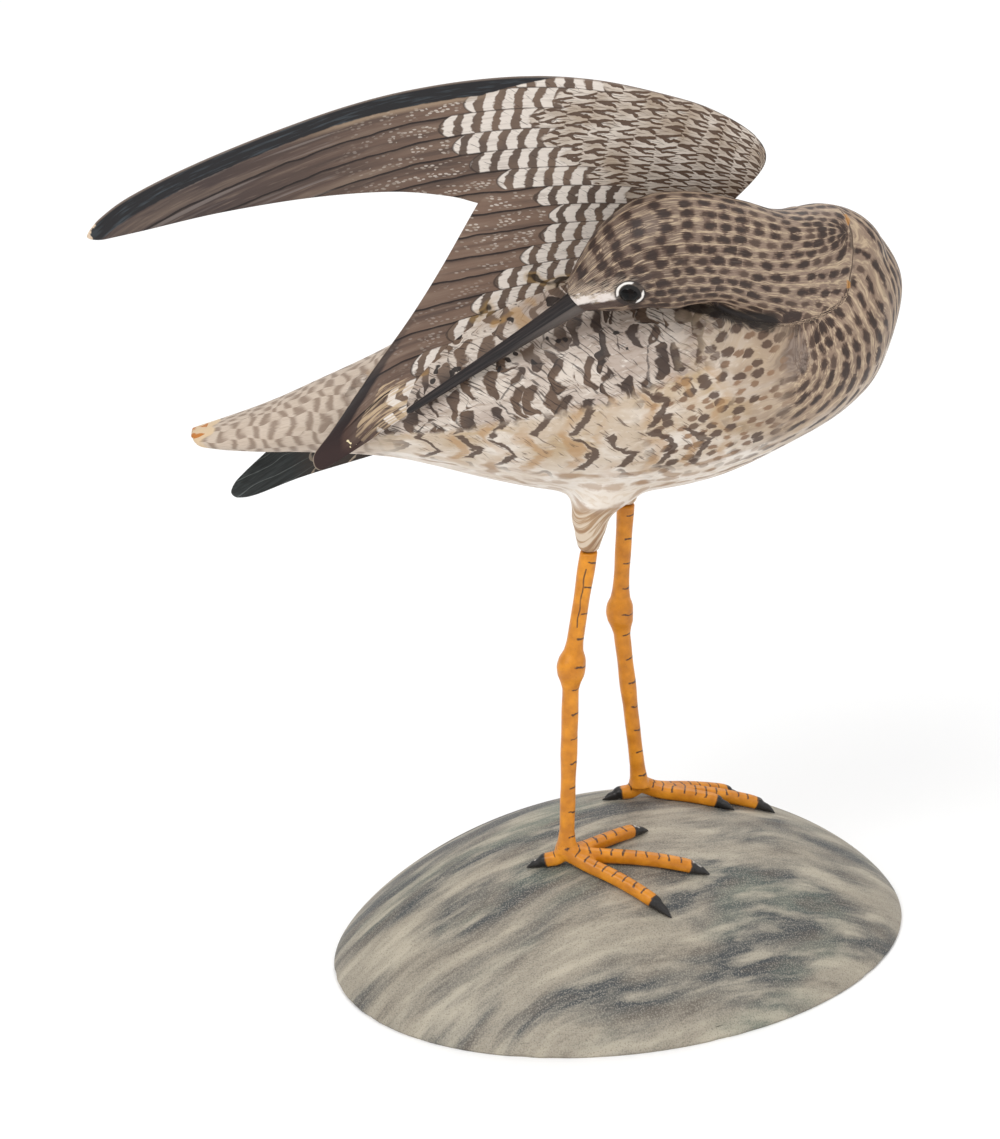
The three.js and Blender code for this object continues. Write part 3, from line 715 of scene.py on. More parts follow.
def feather_flow(points, is_head):
    """Where each point lies in the rows of feathers: how far back, in mm, and how far round, 0
    at the crease under the neck to 1 on the outer side. Behind the crease's end both are
    measured about the middle line of the neck or the body. In front of it the rows are arcs
    round a bend axis: back is the angle times a radius, and round comes from the distance out,
    as an angle whose cosine falls evenly from the crease to the outside. The angle round is
    given as its cosine and sine."""
    middle_line = NECK_PATH[::-1] if is_head else BODY_LINE
    path = bird_point(curve_through(middle_line, np.linspace(0, 1, 200)))
    tangent = unit(np.gradient(path, axis=0))
    lengths = np.concatenate([[0], np.cumsum(np.linalg.norm(np.diff(path, axis=0), axis=1))])
    along, offset = follow(points, path, 9.0)
    inner = np.cross(tangent, BEND_AXIS)
    inner = np.stack([np.interp(along, lengths, inner[:, k]) for k in range(3)], 1)
    turn = np.arctan2(offset @ BEND_AXIS, (offset * inner).sum(1))
    end = bird_point(CREASE_END)
    start = lengths[np.abs(path[:, 0] - end[0]).argmin()]
    forward, bend, distance = about_bend(points)
    straight = forward if is_head else np.pi * BEND_RADIUS - forward
    back = along - start + (0 if is_head else np.pi * BEND_RADIUS)
    share = np.clip(-forward / 45, 0, 1)
    back = straight + (back - straight) * share * share * (3 - 2 * share)
    back = np.where(forward > 0, bend * BEND_RADIUS, back)
    out = np.clip(distance / np.interp(bend, *bend_outline), 0, 1)
    start_cosine = np.cos(np.pi * BEND_START)
    fan = np.arccos(start_cosine - (1 + start_cosine) * out) * np.sign(offset @ BEND_AXIS)
    share = np.clip(forward / BEND_SPREAD + 0.5, 0, 1)
    share = share * share * (3 - 2 * share)
    cosine = np.cos(turn) + (np.cos(fan) - np.cos(turn)) * share
    sine = np.sin(turn) + (np.sin(fan) - np.sin(turn)) * share
    return back, cosine, sine


def eased(values, ends, free, rounds):
    """Values whose free ones take their neighbours' mean, again and again."""
    used = free[ends[0]] | free[ends[1]]
    one, other = ends[:, used]
    size = len(values)
    count = np.maximum(np.bincount(np.r_[one, other], minlength=size), 1)
    for _ in range(rounds):
        total = np.bincount(one, values[other], size) + np.bincount(other, values[one], size)
        values = np.where(free, total / count, values)
    return values


def slope(values, points, ends):
    """How fast values change per mm: the root of twice the mean square change along the edges
    at each point, eased."""
    one, other = ends
    gap = np.linalg.norm(points[one] - points[other], axis=1)
    change = ((values[one] - values[other]) / gap) ** 2
    total = np.bincount(one, change, len(points)) + np.bincount(other, change, len(points))
    steep = np.sqrt(2 * total / np.bincount(np.r_[one, other], minlength=len(points)))
    return eased(steep, ends, np.ones(len(points), bool), 12)


def numbers_of(mesh):
    """Which of the whole's points each point of a cut piece was, or -1 on the cut."""
    numbers = np.empty(len(mesh.vertices), np.float32)
    mesh.attributes["number"].data.foreach_get("value", numbers)
    mesh.attributes.remove(mesh.attributes["number"])
    return numbers.astype(int) - 1


piece_numbers = {"body": numbers_of(body_mesh), "head_and_neck": numbers_of(head_mesh)}
of_head = np.zeros(len(whole_points), bool)
of_head[piece_numbers["head_and_neck"][piece_numbers["head_and_neck"] >= 0]] = True
whole_ends = ends_of(whole)
whole_flow, *whole_turn = np.where(
    of_head, feather_flow(whole_points, True), feather_flow(whole_points, False)
)
bend_forward, _, bend_distance = about_bend(whole_points)
near_bend = (bend_forward > -20) & (bend_forward < 14) & (bend_distance > 8)
cosine, sine = (eased(part, whole_ends, near_bend, 400) for part in whole_turn)
whole_round = np.abs(np.arctan2(sine, cosine)) / np.pi
whole_core = np.interp(bend_distance, [2, 6], [1, 0]) * np.interp(bend_forward, [-9, -4], [0, 1])
whole_steep = np.clip(slope(whole_flow, whole_points, whole_ends), 0.5, 3)
whole_width = 1 / np.clip(slope(whole_round, whole_points, whole_ends) * SPOT_ROWS, 0.1, 0.6)


def feathers(tree, course, row, reach):
    """Overlapping rounded feathers, each column half a row off the last. The last column's tips
    reach over the next by a half circle of the given share. Gives the place along a feather,
    the place across it from -1 to 1, the distance inside its rounded tip as a share of a
    column, and a random number for each feather."""
    column = node(tree, "FLOOR", course)
    part = node(tree, "FRACT", course)
    under_row = node(tree, "MULTIPLY_ADD", column, 0.5, row)
    over_row = node(tree, "ADD", under_row, 0.5)
    across = [
        node(tree, "MULTIPLY_ADD", node(tree, "FRACT", line), 2.0, -1.0)
        for line in (under_row, over_row)
    ]
    rounds = []
    for side in across:
        hollow = node(tree, "SUBTRACT", 1.0, node(tree, "MULTIPLY", side, side))
        rounds.append(node(tree, "MULTIPLY", node(tree, "SQRT", hollow), reach))
    over = node(tree, "LESS_THAN", part, rounds[1])
    pairs = [across, rounds, [node(tree, "FLOOR", line) for line in (under_row, over_row)]]
    side, tip, line = (
        node(tree, "MULTIPLY_ADD", over, node(tree, "SUBTRACT", second, first), first)
        for first, second in pairs
    )
    place = node(tree, "ADD", part, over)
    inside = node(tree, "SUBTRACT", node(tree, "ADD", tip, 1.0), place)
    which = node(tree, "CombineXYZ", node(tree, "SUBTRACT", column, over), line)
    chance = node(tree, "TexWhiteNoise", which, noise_dimensions="2D")
    return place, side, inside, chance


EYE_DIAMETER = 6.4
EYE_SHARE = 0.765
EYE_DROP = 0.32
EYE_PROUD = 1.0


def eye_centre(side):
    """A place on the head's side, level with its cheek: out from the neck's path by its half
    width there, less most of the eye's own half width."""
    path = bird_point(curve_through(NECK_PATH, [EYE_SHARE - 0.01, EYE_SHARE, EYE_SHARE + 0.01]))
    along = unit(path[2] - path[0])
    outward = unit(np.cross(along, Z))
    up = np.cross(outward, along)
    depth = curve_through(NECK_HALF_DEPTHS, [EYE_SHARE])[0, 0] * BODY_LENGTH / 100
    width = curve_through(NECK_HALF_WIDTHS, [EYE_SHARE])[0, 0] * BODY_LENGTH / 100
    reach = width * np.sqrt(1 - EYE_DROP**2) - EYE_DIAMETER / 2 + EYE_PROUD
    return path[1] + side * reach * outward - depth * EYE_DROP * up


ROW_MM = 5.0
FLANK_FEATHER = 13.5
ZIGZAG_GAP = 11.0
TAIL_BAR_GAP = 5.1
BACK_FEATHER = 9.0
DAB_SIZE = (5.4, 3.4)
STRAND_SIZE = (1.7, 20.0)
EYE_RING_RADIUS = 3.5
# Oil paint on carved and sanded pine: satin, with brush hairs that follow the feathers
plumage, tree = new_finish("plumage_oil_paint_on_pine", Specular_IOR_Level=0.3)
flow, around, girth, hidden, rump, tuft = (
    node(tree, "Attribute", attribute_name=name, out=2)
    for name in ("flow", "round", "girth", "hidden", "rump", "tuft")
)
row_count, row_width, spot_course, bend_course, spot_step, spot_long, spot_wide, spotted = (
    node(tree, "Attribute", attribute_name=name, out=2)
    for name in (
        "row_count", "row_width", "spot_course", "bend_course", "spot_step", "spot_long",
        "spot_wide", "spotted",
    )
)
place = node(tree, "TexCoord", out=3)
place_ahead = node(tree, "SeparateXYZ", place)
place_up = node(tree, "SeparateXYZ", place, out=2)
wobble = node(tree, "TexNoise", {"Vector": place, "Scale": 420.0, "Detail": 2.0})
blotch = node(tree, "TexNoise", {"Vector": place, "Scale": 75.0, "Detail": 2.0})
drift = node(tree, "TexNoise", {"Vector": place, "Scale": 150.0, "Detail": 1.0})
rows = node(tree, "MULTIPLY", around, SPOT_ROWS)
rows_mm = node(tree, "MULTIPLY", rows, ROW_MM)
swaying = node(tree, "MULTIPLY_ADD", drift, 2.4, rows_mm)
hairs = strokes(tree, swaying, flow, 0.8, 9.0)
fine_hairs = strokes(tree, swaying, flow, 0.5, 3.0)
broad = strokes(tree, swaying, flow, 4.0, 16.0)

# Ground: buff brown on the head and breast, fading to cream on the flank and white below
belly = node(tree, "MULTIPLY_ADD", broad, 0.16, girth)
to_belly = node(tree, "MapRange", flow, 30.0, 90.0, 0.32, 0.0)
belly = node(tree, "SUBTRACT", belly, to_belly)
belly = node(tree, "SUBTRACT", belly, node(tree, "MapRange", flow, 28.0, 46.0, 0.6, 0.0))
ground = coat(tree, "#8a7566", "#9a836e", flow, 5.0, 60.0)
ground = coat(tree, ground, "#52423a", flow, -26.0, -46.0, 0.68)
ground = coat(tree, ground, "#6f5c50", broad, 0.5, 0.32, 0.6)
ground = coat(tree, ground, "#c9b397", hairs, 0.5, 0.72, 0.75)
ground = coat(tree, ground, "#d8c8b2", fine_hairs, 0.6, 0.8, 0.45)
flank_colour = coat(tree, "#c3b19c", "#b0956f", blotch, 0.45, 0.65, 0.7)
flank_colour = coat(tree, flank_colour, "#ddd3c8", broad, 0.5, 0.65, 0.7)
flank_colour = coat(tree, flank_colour, "#9c8571", hairs, 0.56, 0.72, 0.5)
flank_colour = coat(tree, flank_colour, "#e8dfd5", fine_hairs, 0.58, 0.75, 0.5)
belly_colour = coat(tree, "#dccfc0", "#eae2d9", broad, 0.4, 0.6)
belly_colour = coat(tree, belly_colour, "#b9a68f", hairs, 0.6, 0.75, 0.4)
smudge = strokes(tree, rows_mm, flow, 2.4, 7.0, Detail=0.5)
belly_colour = coat(tree, belly_colour, "#9c7b5c", smudge, 0.58, 0.68, 0.7)
to_flank = node(tree, "MULTIPLY_ADD", drift, 24.0, node(tree, "ADD", flow, -12.0))
ground = coat(tree, ground, flank_colour, to_flank, 66.0, 96.0)
ground = coat(tree, ground, belly_colour, belly, 0.44, 0.6)

# Spots in rows round each side, 14 on the neck and 21 on the body, each a ragged oval stroke
# of thick dark brown. Round the bend an outer row holds more of them than an inner one.
spot_rows = node(tree, "MULTIPLY", around, row_count)
line = node(tree, "FLOOR", spot_rows)
line_chance = node(tree, "TexWhiteNoise", {"W": line}, noise_dimensions="1D")
row_reach = node(tree, "MapRange", node(tree, "DIVIDE", line, row_count), 0.29, 0.79, 0.3, 1.35)
course = node(tree, "MULTIPLY_ADD", bend_course, row_reach, spot_course)
course = node(tree, "MULTIPLY_ADD", line, 0.5, course)
course = node(tree, "MULTIPLY_ADD", line_chance, 0.5, course)
cell = node(tree, "CombineXYZ", node(tree, "FLOOR", course), line)
jitter = node(tree, "TexWhiteNoise", cell, noise_dimensions="2D", out=1)
jitter_along = node(tree, "MULTIPLY_ADD", node(tree, "SeparateXYZ", jitter), 0.26, -0.63)
jitter_across = node(tree, "MULTIPLY_ADD", node(tree, "SeparateXYZ", jitter, out=1), 0.2, -0.6)
spot_chance = node(tree, "SeparateXYZ", jitter, out=2)
jitter_size = node(tree, "MULTIPLY_ADD", spot_chance, 0.4, 0.84)
off_along = node(tree, "ADD", node(tree, "FRACT", course), jitter_along)
off_along = node(tree, "DIVIDE", node(tree, "MULTIPLY", off_along, spot_step), spot_long)
off_across = node(tree, "ADD", node(tree, "FRACT", spot_rows), jitter_across)
off_across = node(tree, "DIVIDE", node(tree, "MULTIPLY", off_across, row_width), spot_wide)
off_along = node(tree, "MULTIPLY", off_along, off_along)
spot_gap = node(tree, "SQRT", node(tree, "MULTIPLY_ADD", off_across, off_across, off_along))
spot_gap = node(tree, "DIVIDE", spot_gap, jitter_size)
spot_gap = node(tree, "MULTIPLY_ADD", fine_hairs, 1.3, node(tree, "ADD", spot_gap, -0.65))
spot_gap = node(tree, "MULTIPLY_ADD", wobble, 1.3, node(tree, "ADD", spot_gap, -0.65))
spot = node(tree, "MULTIPLY", node(tree, "MapRange", spot_gap, 1.25, 0.75), spotted)
spot_colour = coat(tree, "#594439", "#30231f", spot_gap, 1.0, 0.45)
spot_colour = coat(tree, spot_colour, "#6a5548", spot_chance, 0.25, 0.0, 0.6)
spot_colour = coat(tree, spot_colour, "#ab8765", flow, 74.0, 100.0, 0.9)
between = node(tree, "MULTIPLY_ADD", fine_hairs, 1.6, off_middle(tree, spot_rows))
between = node(tree, "MULTIPLY", node(tree, "MapRange", between, 1.16, 1.4), spotted)
feather_colour = coat(tree, ground, "#c9b294", between, most=0.7)
feather_colour = coat(tree, feather_colour, spot_colour, spot, most=0.95)

core = node(tree, "Attribute", attribute_name="core", out=2)
core = node(tree, "MULTIPLY_ADD", hairs, 1.6, node(tree, "ADD", core, -0.8))
core_colour = coat(tree, "#6a5a51", "#8d7d72", hairs, 0.42, 0.6)
feather_colour = coat(tree, feather_colour, core_colour, core, 0.2, 0.9, 0.85)

# Between breast and flank the rows break up into small slanting dabs
across_dabs = node(tree, "MULTIPLY_ADD", place_up, 0.5, place_ahead)
across_dabs = node(tree, "MULTIPLY_ADD", wobble, 0.0016, across_dabs)
up_dabs = node(tree, "MULTIPLY_ADD", place_ahead, -0.5, place_up)
dab_place = node(
    tree,
    "CombineXYZ",
    node(tree, "DIVIDE", across_dabs, DAB_SIZE[0] / 1000),
    node(tree, "DIVIDE", up_dabs, DAB_SIZE[1] / 1000),
)
dab_cell = {"Vector": dab_place, "Scale": 1.0, "Randomness": 0.75}
dab = node(tree, "TexVoronoi", dab_cell, voronoi_dimensions="2D")
dab_tone = node(tree, "TexVoronoi", dab_cell, voronoi_dimensions="2D", out=1)
dab_tone = node(tree, "SeparateXYZ", dab_tone)
dab = node(tree, "MULTIPLY_ADD", fine_hairs, 0.5, dab)
dab = node(tree, "MULTIPLY_ADD", dab_tone, 0.16, dab)
dabbed = node(tree, "Attribute", attribute_name="dabbed", out=2)
dab = node(tree, "MULTIPLY", node(tree, "MapRange", dab, 0.72, 0.6), dabbed)
dab_colour = coat(tree, "#4e3a30", "#8a6b52", dab_tone, 0.3, 0.9)
feather_colour = coat(tree, feather_colour, dab_colour, dab, most=0.9)

# Barred flank: white feathers with brown bars and fine black outlines
flank_place, flank_across, flank_inside, flank_chance = feathers(
    tree,
    node(tree, "DIVIDE", node(tree, "MULTIPLY_ADD", drift, 9.0, flow), FLANK_FEATHER),
    node(tree, "MULTIPLY_ADD", drift, 0.9, node(tree, "MULTIPLY", rows, 0.62)),
    0.5,
)
bars = node(tree, "MULTIPLY_ADD", flank_place, 2.0, flank_chance)
bars = node(tree, "MULTIPLY_ADD", wobble, 0.35, bars)
curve = node(tree, "MULTIPLY", flank_across, flank_across)
bars = node(tree, "MULTIPLY_ADD", curve, 0.4, bars)
bars = off_middle(tree, bars)
bar_end = node(tree, "MULTIPLY_ADD", blotch, 0.5, node(tree, "ABSOLUTE", flank_across))
bar_end = node(tree, "MapRange", bar_end, 0.9, 1.12, 0.0, 0.4)
bars = node(tree, "SUBTRACT", node(tree, "MULTIPLY_ADD", fine_hairs, 0.12, bars), bar_end)
barred = coat(tree, "#d2c6ba", "#a8968a", blotch, 0.4, 0.62, 0.7)
barred = coat(tree, barred, "#94806f", hairs, 0.5, 0.68, 0.6)
barred = coat(tree, barred, "#eae3da", fine_hairs, 0.58, 0.7, 0.6)
bar_colour = coat(tree, "#5d4635", "#3a2b24", blotch, 0.4, 0.6)
barred = coat(tree, barred, bar_colour, bars, 0.28, 0.36, 0.94)
ring = node(tree, "MULTIPLY_ADD", wobble, 0.12, flank_inside)
ring = node(tree, "ABSOLUTE", node(tree, "ADD", ring, -0.08))
ring = node(tree, "MULTIPLY_ADD", node(tree, "MAXIMUM", hairs, 0.5), 0.3, ring)
barred = coat(tree, barred, "#2e2623", ring, 0.2, 0.17, 0.7)
slanted = node(tree, "MULTIPLY_ADD", flow, 0.6, swaying)
barbs = strokes(tree, slanted, flow, 0.55, 6.0)
barred = coat(tree, barred, "#372c28", barbs, 0.55, 0.61, 0.8)
joint = faded(tree, node(tree, "MapRange", around, 0.2, 0.1), flow, 115.0, 140.0)
barred = coat(tree, barred, "#8b7666", node(tree, "MULTIPLY", joint, blotch), 0.3, 0.6, 0.6)
stain = node(tree, "MULTIPLY", joint, drift)
barred = coat(tree, barred, "#b2894c", stain, 0.55, 0.62, 0.5)
blots = faded(tree, node(tree, "MapRange", around, 0.32, 0.16), flow, 70.0, 120.0)
drops = node(tree, "TexNoise", {"Vector": place, "Scale": 260.0, "Detail": 1.0})
blots = node(tree, "MULTIPLY", blots, drops)
barred = coat(tree, barred, "#221a18", blots, 0.63, 0.65, 0.95)
flank_edge = node(tree, "MapRange", flow, 95.0, 170.0, 0.22, 0.34)
flank_edge = node(tree, "SUBTRACT", around, flank_edge)
flank_edge = node(tree, "MULTIPLY_ADD", wobble, 0.04, flank_edge)
on_flank = node(tree, "MapRange", flank_edge, 0.03, 0.01)
on_flank = faded(tree, on_flank, to_flank, 86.0, 104.0)
feather_colour = coat(tree, feather_colour, barred, on_flank)

# Below it: short zigzag bars over cream, a tan patch behind each, with brush hairs beside them
turns = node(tree, "MULTIPLY_ADD", drift, 1.2, node(tree, "MULTIPLY", rows, 1.1))
zigzag = node(tree, "MULTIPLY_ADD", node(tree, "PINGPONG", turns, 1.0), 6.0, flow)
zigzag = node(tree, "MULTIPLY_ADD", wobble, 2.0, zigzag)
zigzag = node(tree, "MULTIPLY_ADD", drift, 6.0, zigzag)
zigzag = node(tree, "DIVIDE", zigzag, ZIGZAG_GAP)
zig_row = node(tree, "FLOOR", node(tree, "DIVIDE", turns, 2.0))
zig_cell = node(tree, "CombineXYZ", node(tree, "FLOOR", zigzag), zig_row)
zig_chance = node(tree, "TexWhiteNoise", zig_cell, noise_dimensions="2D")
zig_gap = node(tree, "SUBTRACT", node(tree, "FRACT", zigzag), 0.5)
zig = node(tree, "MULTIPLY_ADD", fine_hairs, 0.2, node(tree, "ABSOLUTE", zig_gap))
zig = node(tree, "MapRange", zig, 0.23, 0.19)
zig = faded(tree, zig, zig_chance, 0.04, 0.1)
zig_end = off_middle(tree, node(tree, "DIVIDE", turns, 2.0))
zig_end = node(tree, "MULTIPLY_ADD", blotch, 0.3, zig_end)
zig = faded(tree, zig, zig_end, 0.64, 0.6)
zig_from = node(tree, "MapRange", flank_edge, 0.0, 0.03)
zig_from = faded(tree, zig_from, around, 0.52, 0.46)
zig_from = faded(tree, zig_from, to_flank, 84.0, 96.0)
zig_from = faded(tree, zig_from, flow, 190.0, 178.0)
patch = node(tree, "ABSOLUTE", node(tree, "ADD", zig_gap, -0.3))
patch = node(tree, "MULTIPLY_ADD", hairs, 0.4, patch)
patch = node(tree, "MULTIPLY", node(tree, "MapRange", patch, 0.42, 0.28), zig_from)
patch = faded(tree, patch, blotch, 0.36, 0.56)
feather_colour = coat(tree, feather_colour, "#b08a60", patch, most=0.7)
zig = node(tree, "MULTIPLY", zig, zig_from)
feather_colour = coat(tree, feather_colour, "#523f34", zig, most=0.92)
short = strokes(tree, slanted, flow, 0.6, 4.5)
short = node(tree, "MULTIPLY", short, zig_from)
feather_colour = coat(tree, feather_colour, "#5a483d", short, 0.59, 0.65, 0.75)

# Tail: cream with soft brown bars, and its tip worn to the orange wood
tail_feather = node(tree, "MULTIPLY_ADD", drift, 1.2, node(tree, "MULTIPLY", rows, 0.62))
tail_bar = node(tree, "MULTIPLY_ADD", node(tree, "FLOOR", tail_feather), 2.4, flow)
tail_bar = node(tree, "MULTIPLY_ADD", drift, 7.0, tail_bar)
tail_bar = off_middle(tree, node(tree, "DIVIDE", tail_bar, TAIL_BAR_GAP))
tail_bar = node(tree, "MULTIPLY_ADD", hairs, 0.5, tail_bar)
tail = coat(tree, "#c6b6a6", "#ad9a88", hairs, 0.45, 0.7, 0.7)
tail = coat(tree, tail, "#7c6757", tail_bar, 0.56, 0.34, 0.75)
tail_from = node(tree, "MAXIMUM", node(tree, "MapRange", to_flank, 186.0, 196.0), rump)
feather_colour = coat(tree, feather_colour, tail, tail_from)
chip = node(tree, "MULTIPLY_ADD", blotch, 26.0, flow)
feather_colour = coat(tree, feather_colour, "#d2b998", chip, 250.4, 251.2)
bare = node(tree, "MULTIPLY", node(tree, "MapRange", chip, 252.5, 253.5), drops)
feather_colour = coat(tree, feather_colour, "#b87333", bare, 0.52, 0.56)

# Painted shade: the hollow under the neck darkened almost to black
hollow = node(tree, "Attribute", attribute_name="hollow", out=2)
hollow = node(tree, "MULTIPLY_ADD", fine_hairs, 0.9, hollow)
feather_colour = coat(tree, feather_colour, "#1c1614", hollow, 0.75, 1.05, 0.92)



def notched_feathers(tree, course, row, hairs, wobble, colours, edge):
    """Dark feathers in two streaked tones, whose tips have a pale ragged edge as wide as the
    given share of a column."""
    inside = feathers(tree, course, row, 0.6)[2]
    notch = node(tree, "MULTIPLY_ADD", wobble, 0.3, inside)
    dark, darker, pale = colours
    streaky = coat(tree, dark, darker, hairs, 0.4, 0.6)
    return coat(tree, streaky, pale, notch, edge, edge - 0.08, 0.8)


# Hidden back: dark brown feathers with pale notches
back_course = node(tree, "DIVIDE", flow, BACK_FEATHER)
back_row = node(tree, "MULTIPLY", rows, 1.2)
back_colours = ("#4c4037", "#3a302a", "#b5a38e")
back_colour = notched_feathers(tree, back_course, back_row, hairs, wobble, back_colours, 0.3)
feather_colour = coat(tree, feather_colour, back_colour, hidden, 0.4, 0.6)

# Thigh tufts: tan and white strands
strand_across = node(tree, "MULTIPLY_ADD", place_up, -0.7, place_ahead)
strand_across = node(tree, "ADD", node(tree, "SeparateXYZ", place, out=1), strand_across)
strand_along = node(tree, "MULTIPLY_ADD", place_ahead, 0.7, place_up)
strand_width, strand_length = np.array(STRAND_SIZE) / 1000
strand = strokes(tree, strand_across, strand_along, strand_width, strand_length)
tuft_colour = coat(tree, "#ab8b6b", "#d4c2ac", strand, 0.47, 0.56)
tuft_colour = coat(tree, tuft_colour, "#866349", strand, 0.42, 0.35, 0.6)
feather_colour = coat(tree, feather_colour, tuft_colour, tuft, 0.3, 0.7)

# Face: a white patch before the eye, a dark line under it, and a white ring broken in two
eye_back = node(tree, "Attribute", attribute_name="eye_back", out=2)
eye_up = node(tree, "Attribute", attribute_name="eye_up", out=2)
ragged = node(tree, "MULTIPLY_ADD", fine_hairs, 2.0, -1.0)
brow_up = node(tree, "MULTIPLY_ADD", eye_back, 0.25, eye_up)
brow = node(tree, "MapRange", brow_up, 7.0, 3.0)
brow = faded(tree, brow, brow_up, -1.0, 1.0)
brow = faded(tree, brow, eye_back, 6.0, 1.0)
brow = faded(tree, brow, fine_hairs, 0.44, 0.56)
feather_colour = coat(tree, feather_colour, "#cdbba6", brow, most=0.8)
lore_up = node(tree, "MULTIPLY_ADD", eye_back, 0.25, node(tree, "ADD", eye_up, -0.4))
lore = node(tree, "MULTIPLY_ADD", ragged, 2.4, node(tree, "ABSOLUTE", lore_up))
lore = node(tree, "MULTIPLY_ADD", wobble, 5.0, node(tree, "ADD", lore, -2.5))
lore = node(tree, "MapRange", lore, 1.7, 1.0)
lore = faded(tree, lore, eye_back, -3.0, -5.0)
feather_colour = coat(tree, feather_colour, "#e6dcd5", lore, most=0.97)
stripe_up = node(tree, "ABSOLUTE", node(tree, "ADD", lore_up, 2.6))
stripe = node(tree, "MULTIPLY_ADD", ragged, 1.2, stripe_up)
stripe = node(tree, "MapRange", stripe, 1.5, 1.0)
stripe = faded(tree, stripe, eye_back, 4.0, 1.0)
feather_colour = coat(tree, feather_colour, "#4a3a34", stripe, most=0.92)
line_back = node(tree, "ABSOLUTE", node(tree, "ADD", eye_up, -2.3))
line_back = node(tree, "MULTIPLY_ADD", ragged, 1.2, line_back)
line_back = node(tree, "MapRange", line_back, 1.1, 0.7)
line_back = faded(tree, line_back, eye_back, 2.5, 3.5)
line_back = faded(tree, line_back, eye_back, 11.0, 8.0)
feather_colour = coat(tree, feather_colour, "#43342e", line_back, most=0.9)
eye_gap = node(tree, "MULTIPLY", eye_up, eye_up)
eye_gap = node(tree, "SQRT", node(tree, "MULTIPLY_ADD", eye_back, eye_back, eye_gap))
ring_gap = node(tree, "ABSOLUTE", node(tree, "SUBTRACT", eye_gap, EYE_RING_RADIUS))
eye_ring = node(tree, "MapRange", node(tree, "MULTIPLY_ADD", wobble, 0.5, ring_gap), 0.68, 0.5)
lit = node(tree, "MAXIMUM", node(tree, "MULTIPLY_ADD", eye_back, -0.25, eye_up), 1.6)
unlit = node(tree, "MULTIPLY_ADD", eye_back, 0.7, node(tree, "SUBTRACT", -1.5, eye_up))
lit = node(tree, "MAXIMUM", lit, unlit)
eye_ring = faded(tree, eye_ring, lit, 1.7, 2.1)
feather_colour = coat(tree, feather_colour, "#2a2321", eye_gap, 4.6, 4.15, 0.8)
feather_colour = coat(tree, feather_colour, "#efeae4", eye_ring)
feather_colour = coat(tree, feather_colour, "#0f0c0c", eye_gap, 3.0, 2.8, 0.97)

# Seam: the glued joint across the neck, with a hair crack and specks of orange filler where
# it crosses the nape
seam_gap = node(tree, "Attribute", attribute_name="seam", out=2)
seam_gap = node(tree, "MULTIPLY_ADD", drift, 1.6, node(tree, "ADD", seam_gap, -0.8))
height = node(tree, "SeparateXYZ", place, out=2)
below = node(tree, "MapRange", height, *SEAM_HIDDEN_BELOW, 0.0, 9.0)
crack = node(tree, "ADD", node(tree, "ABSOLUTE", seam_gap), below)
feather_colour = coat(tree, feather_colour, "#c0ab93", crack, 1.2, 0.4, 0.2)
feather_colour = coat(tree, feather_colour, "#5d4b40", crack, 0.28, 0.12, 0.8)
glue = node(tree, "MapRange", node(tree, "MULTIPLY_ADD", wobble, 1.8, crack), 2.1, 1.6)
glue = faded(tree, glue, drops, 0.6, 0.64)
feather_colour = coat(tree, feather_colour, "#b8813f", glue, most=0.8)

plumage_relief = node(tree, "MULTIPLY_ADD", spot, 0.4, hairs)
plumage_shine = node(tree, "MULTIPLY_ADD", hairs, 0.22, 0.36)
join_finish(tree, feather_colour, plumage_shine, plumage_relief, 0.1)

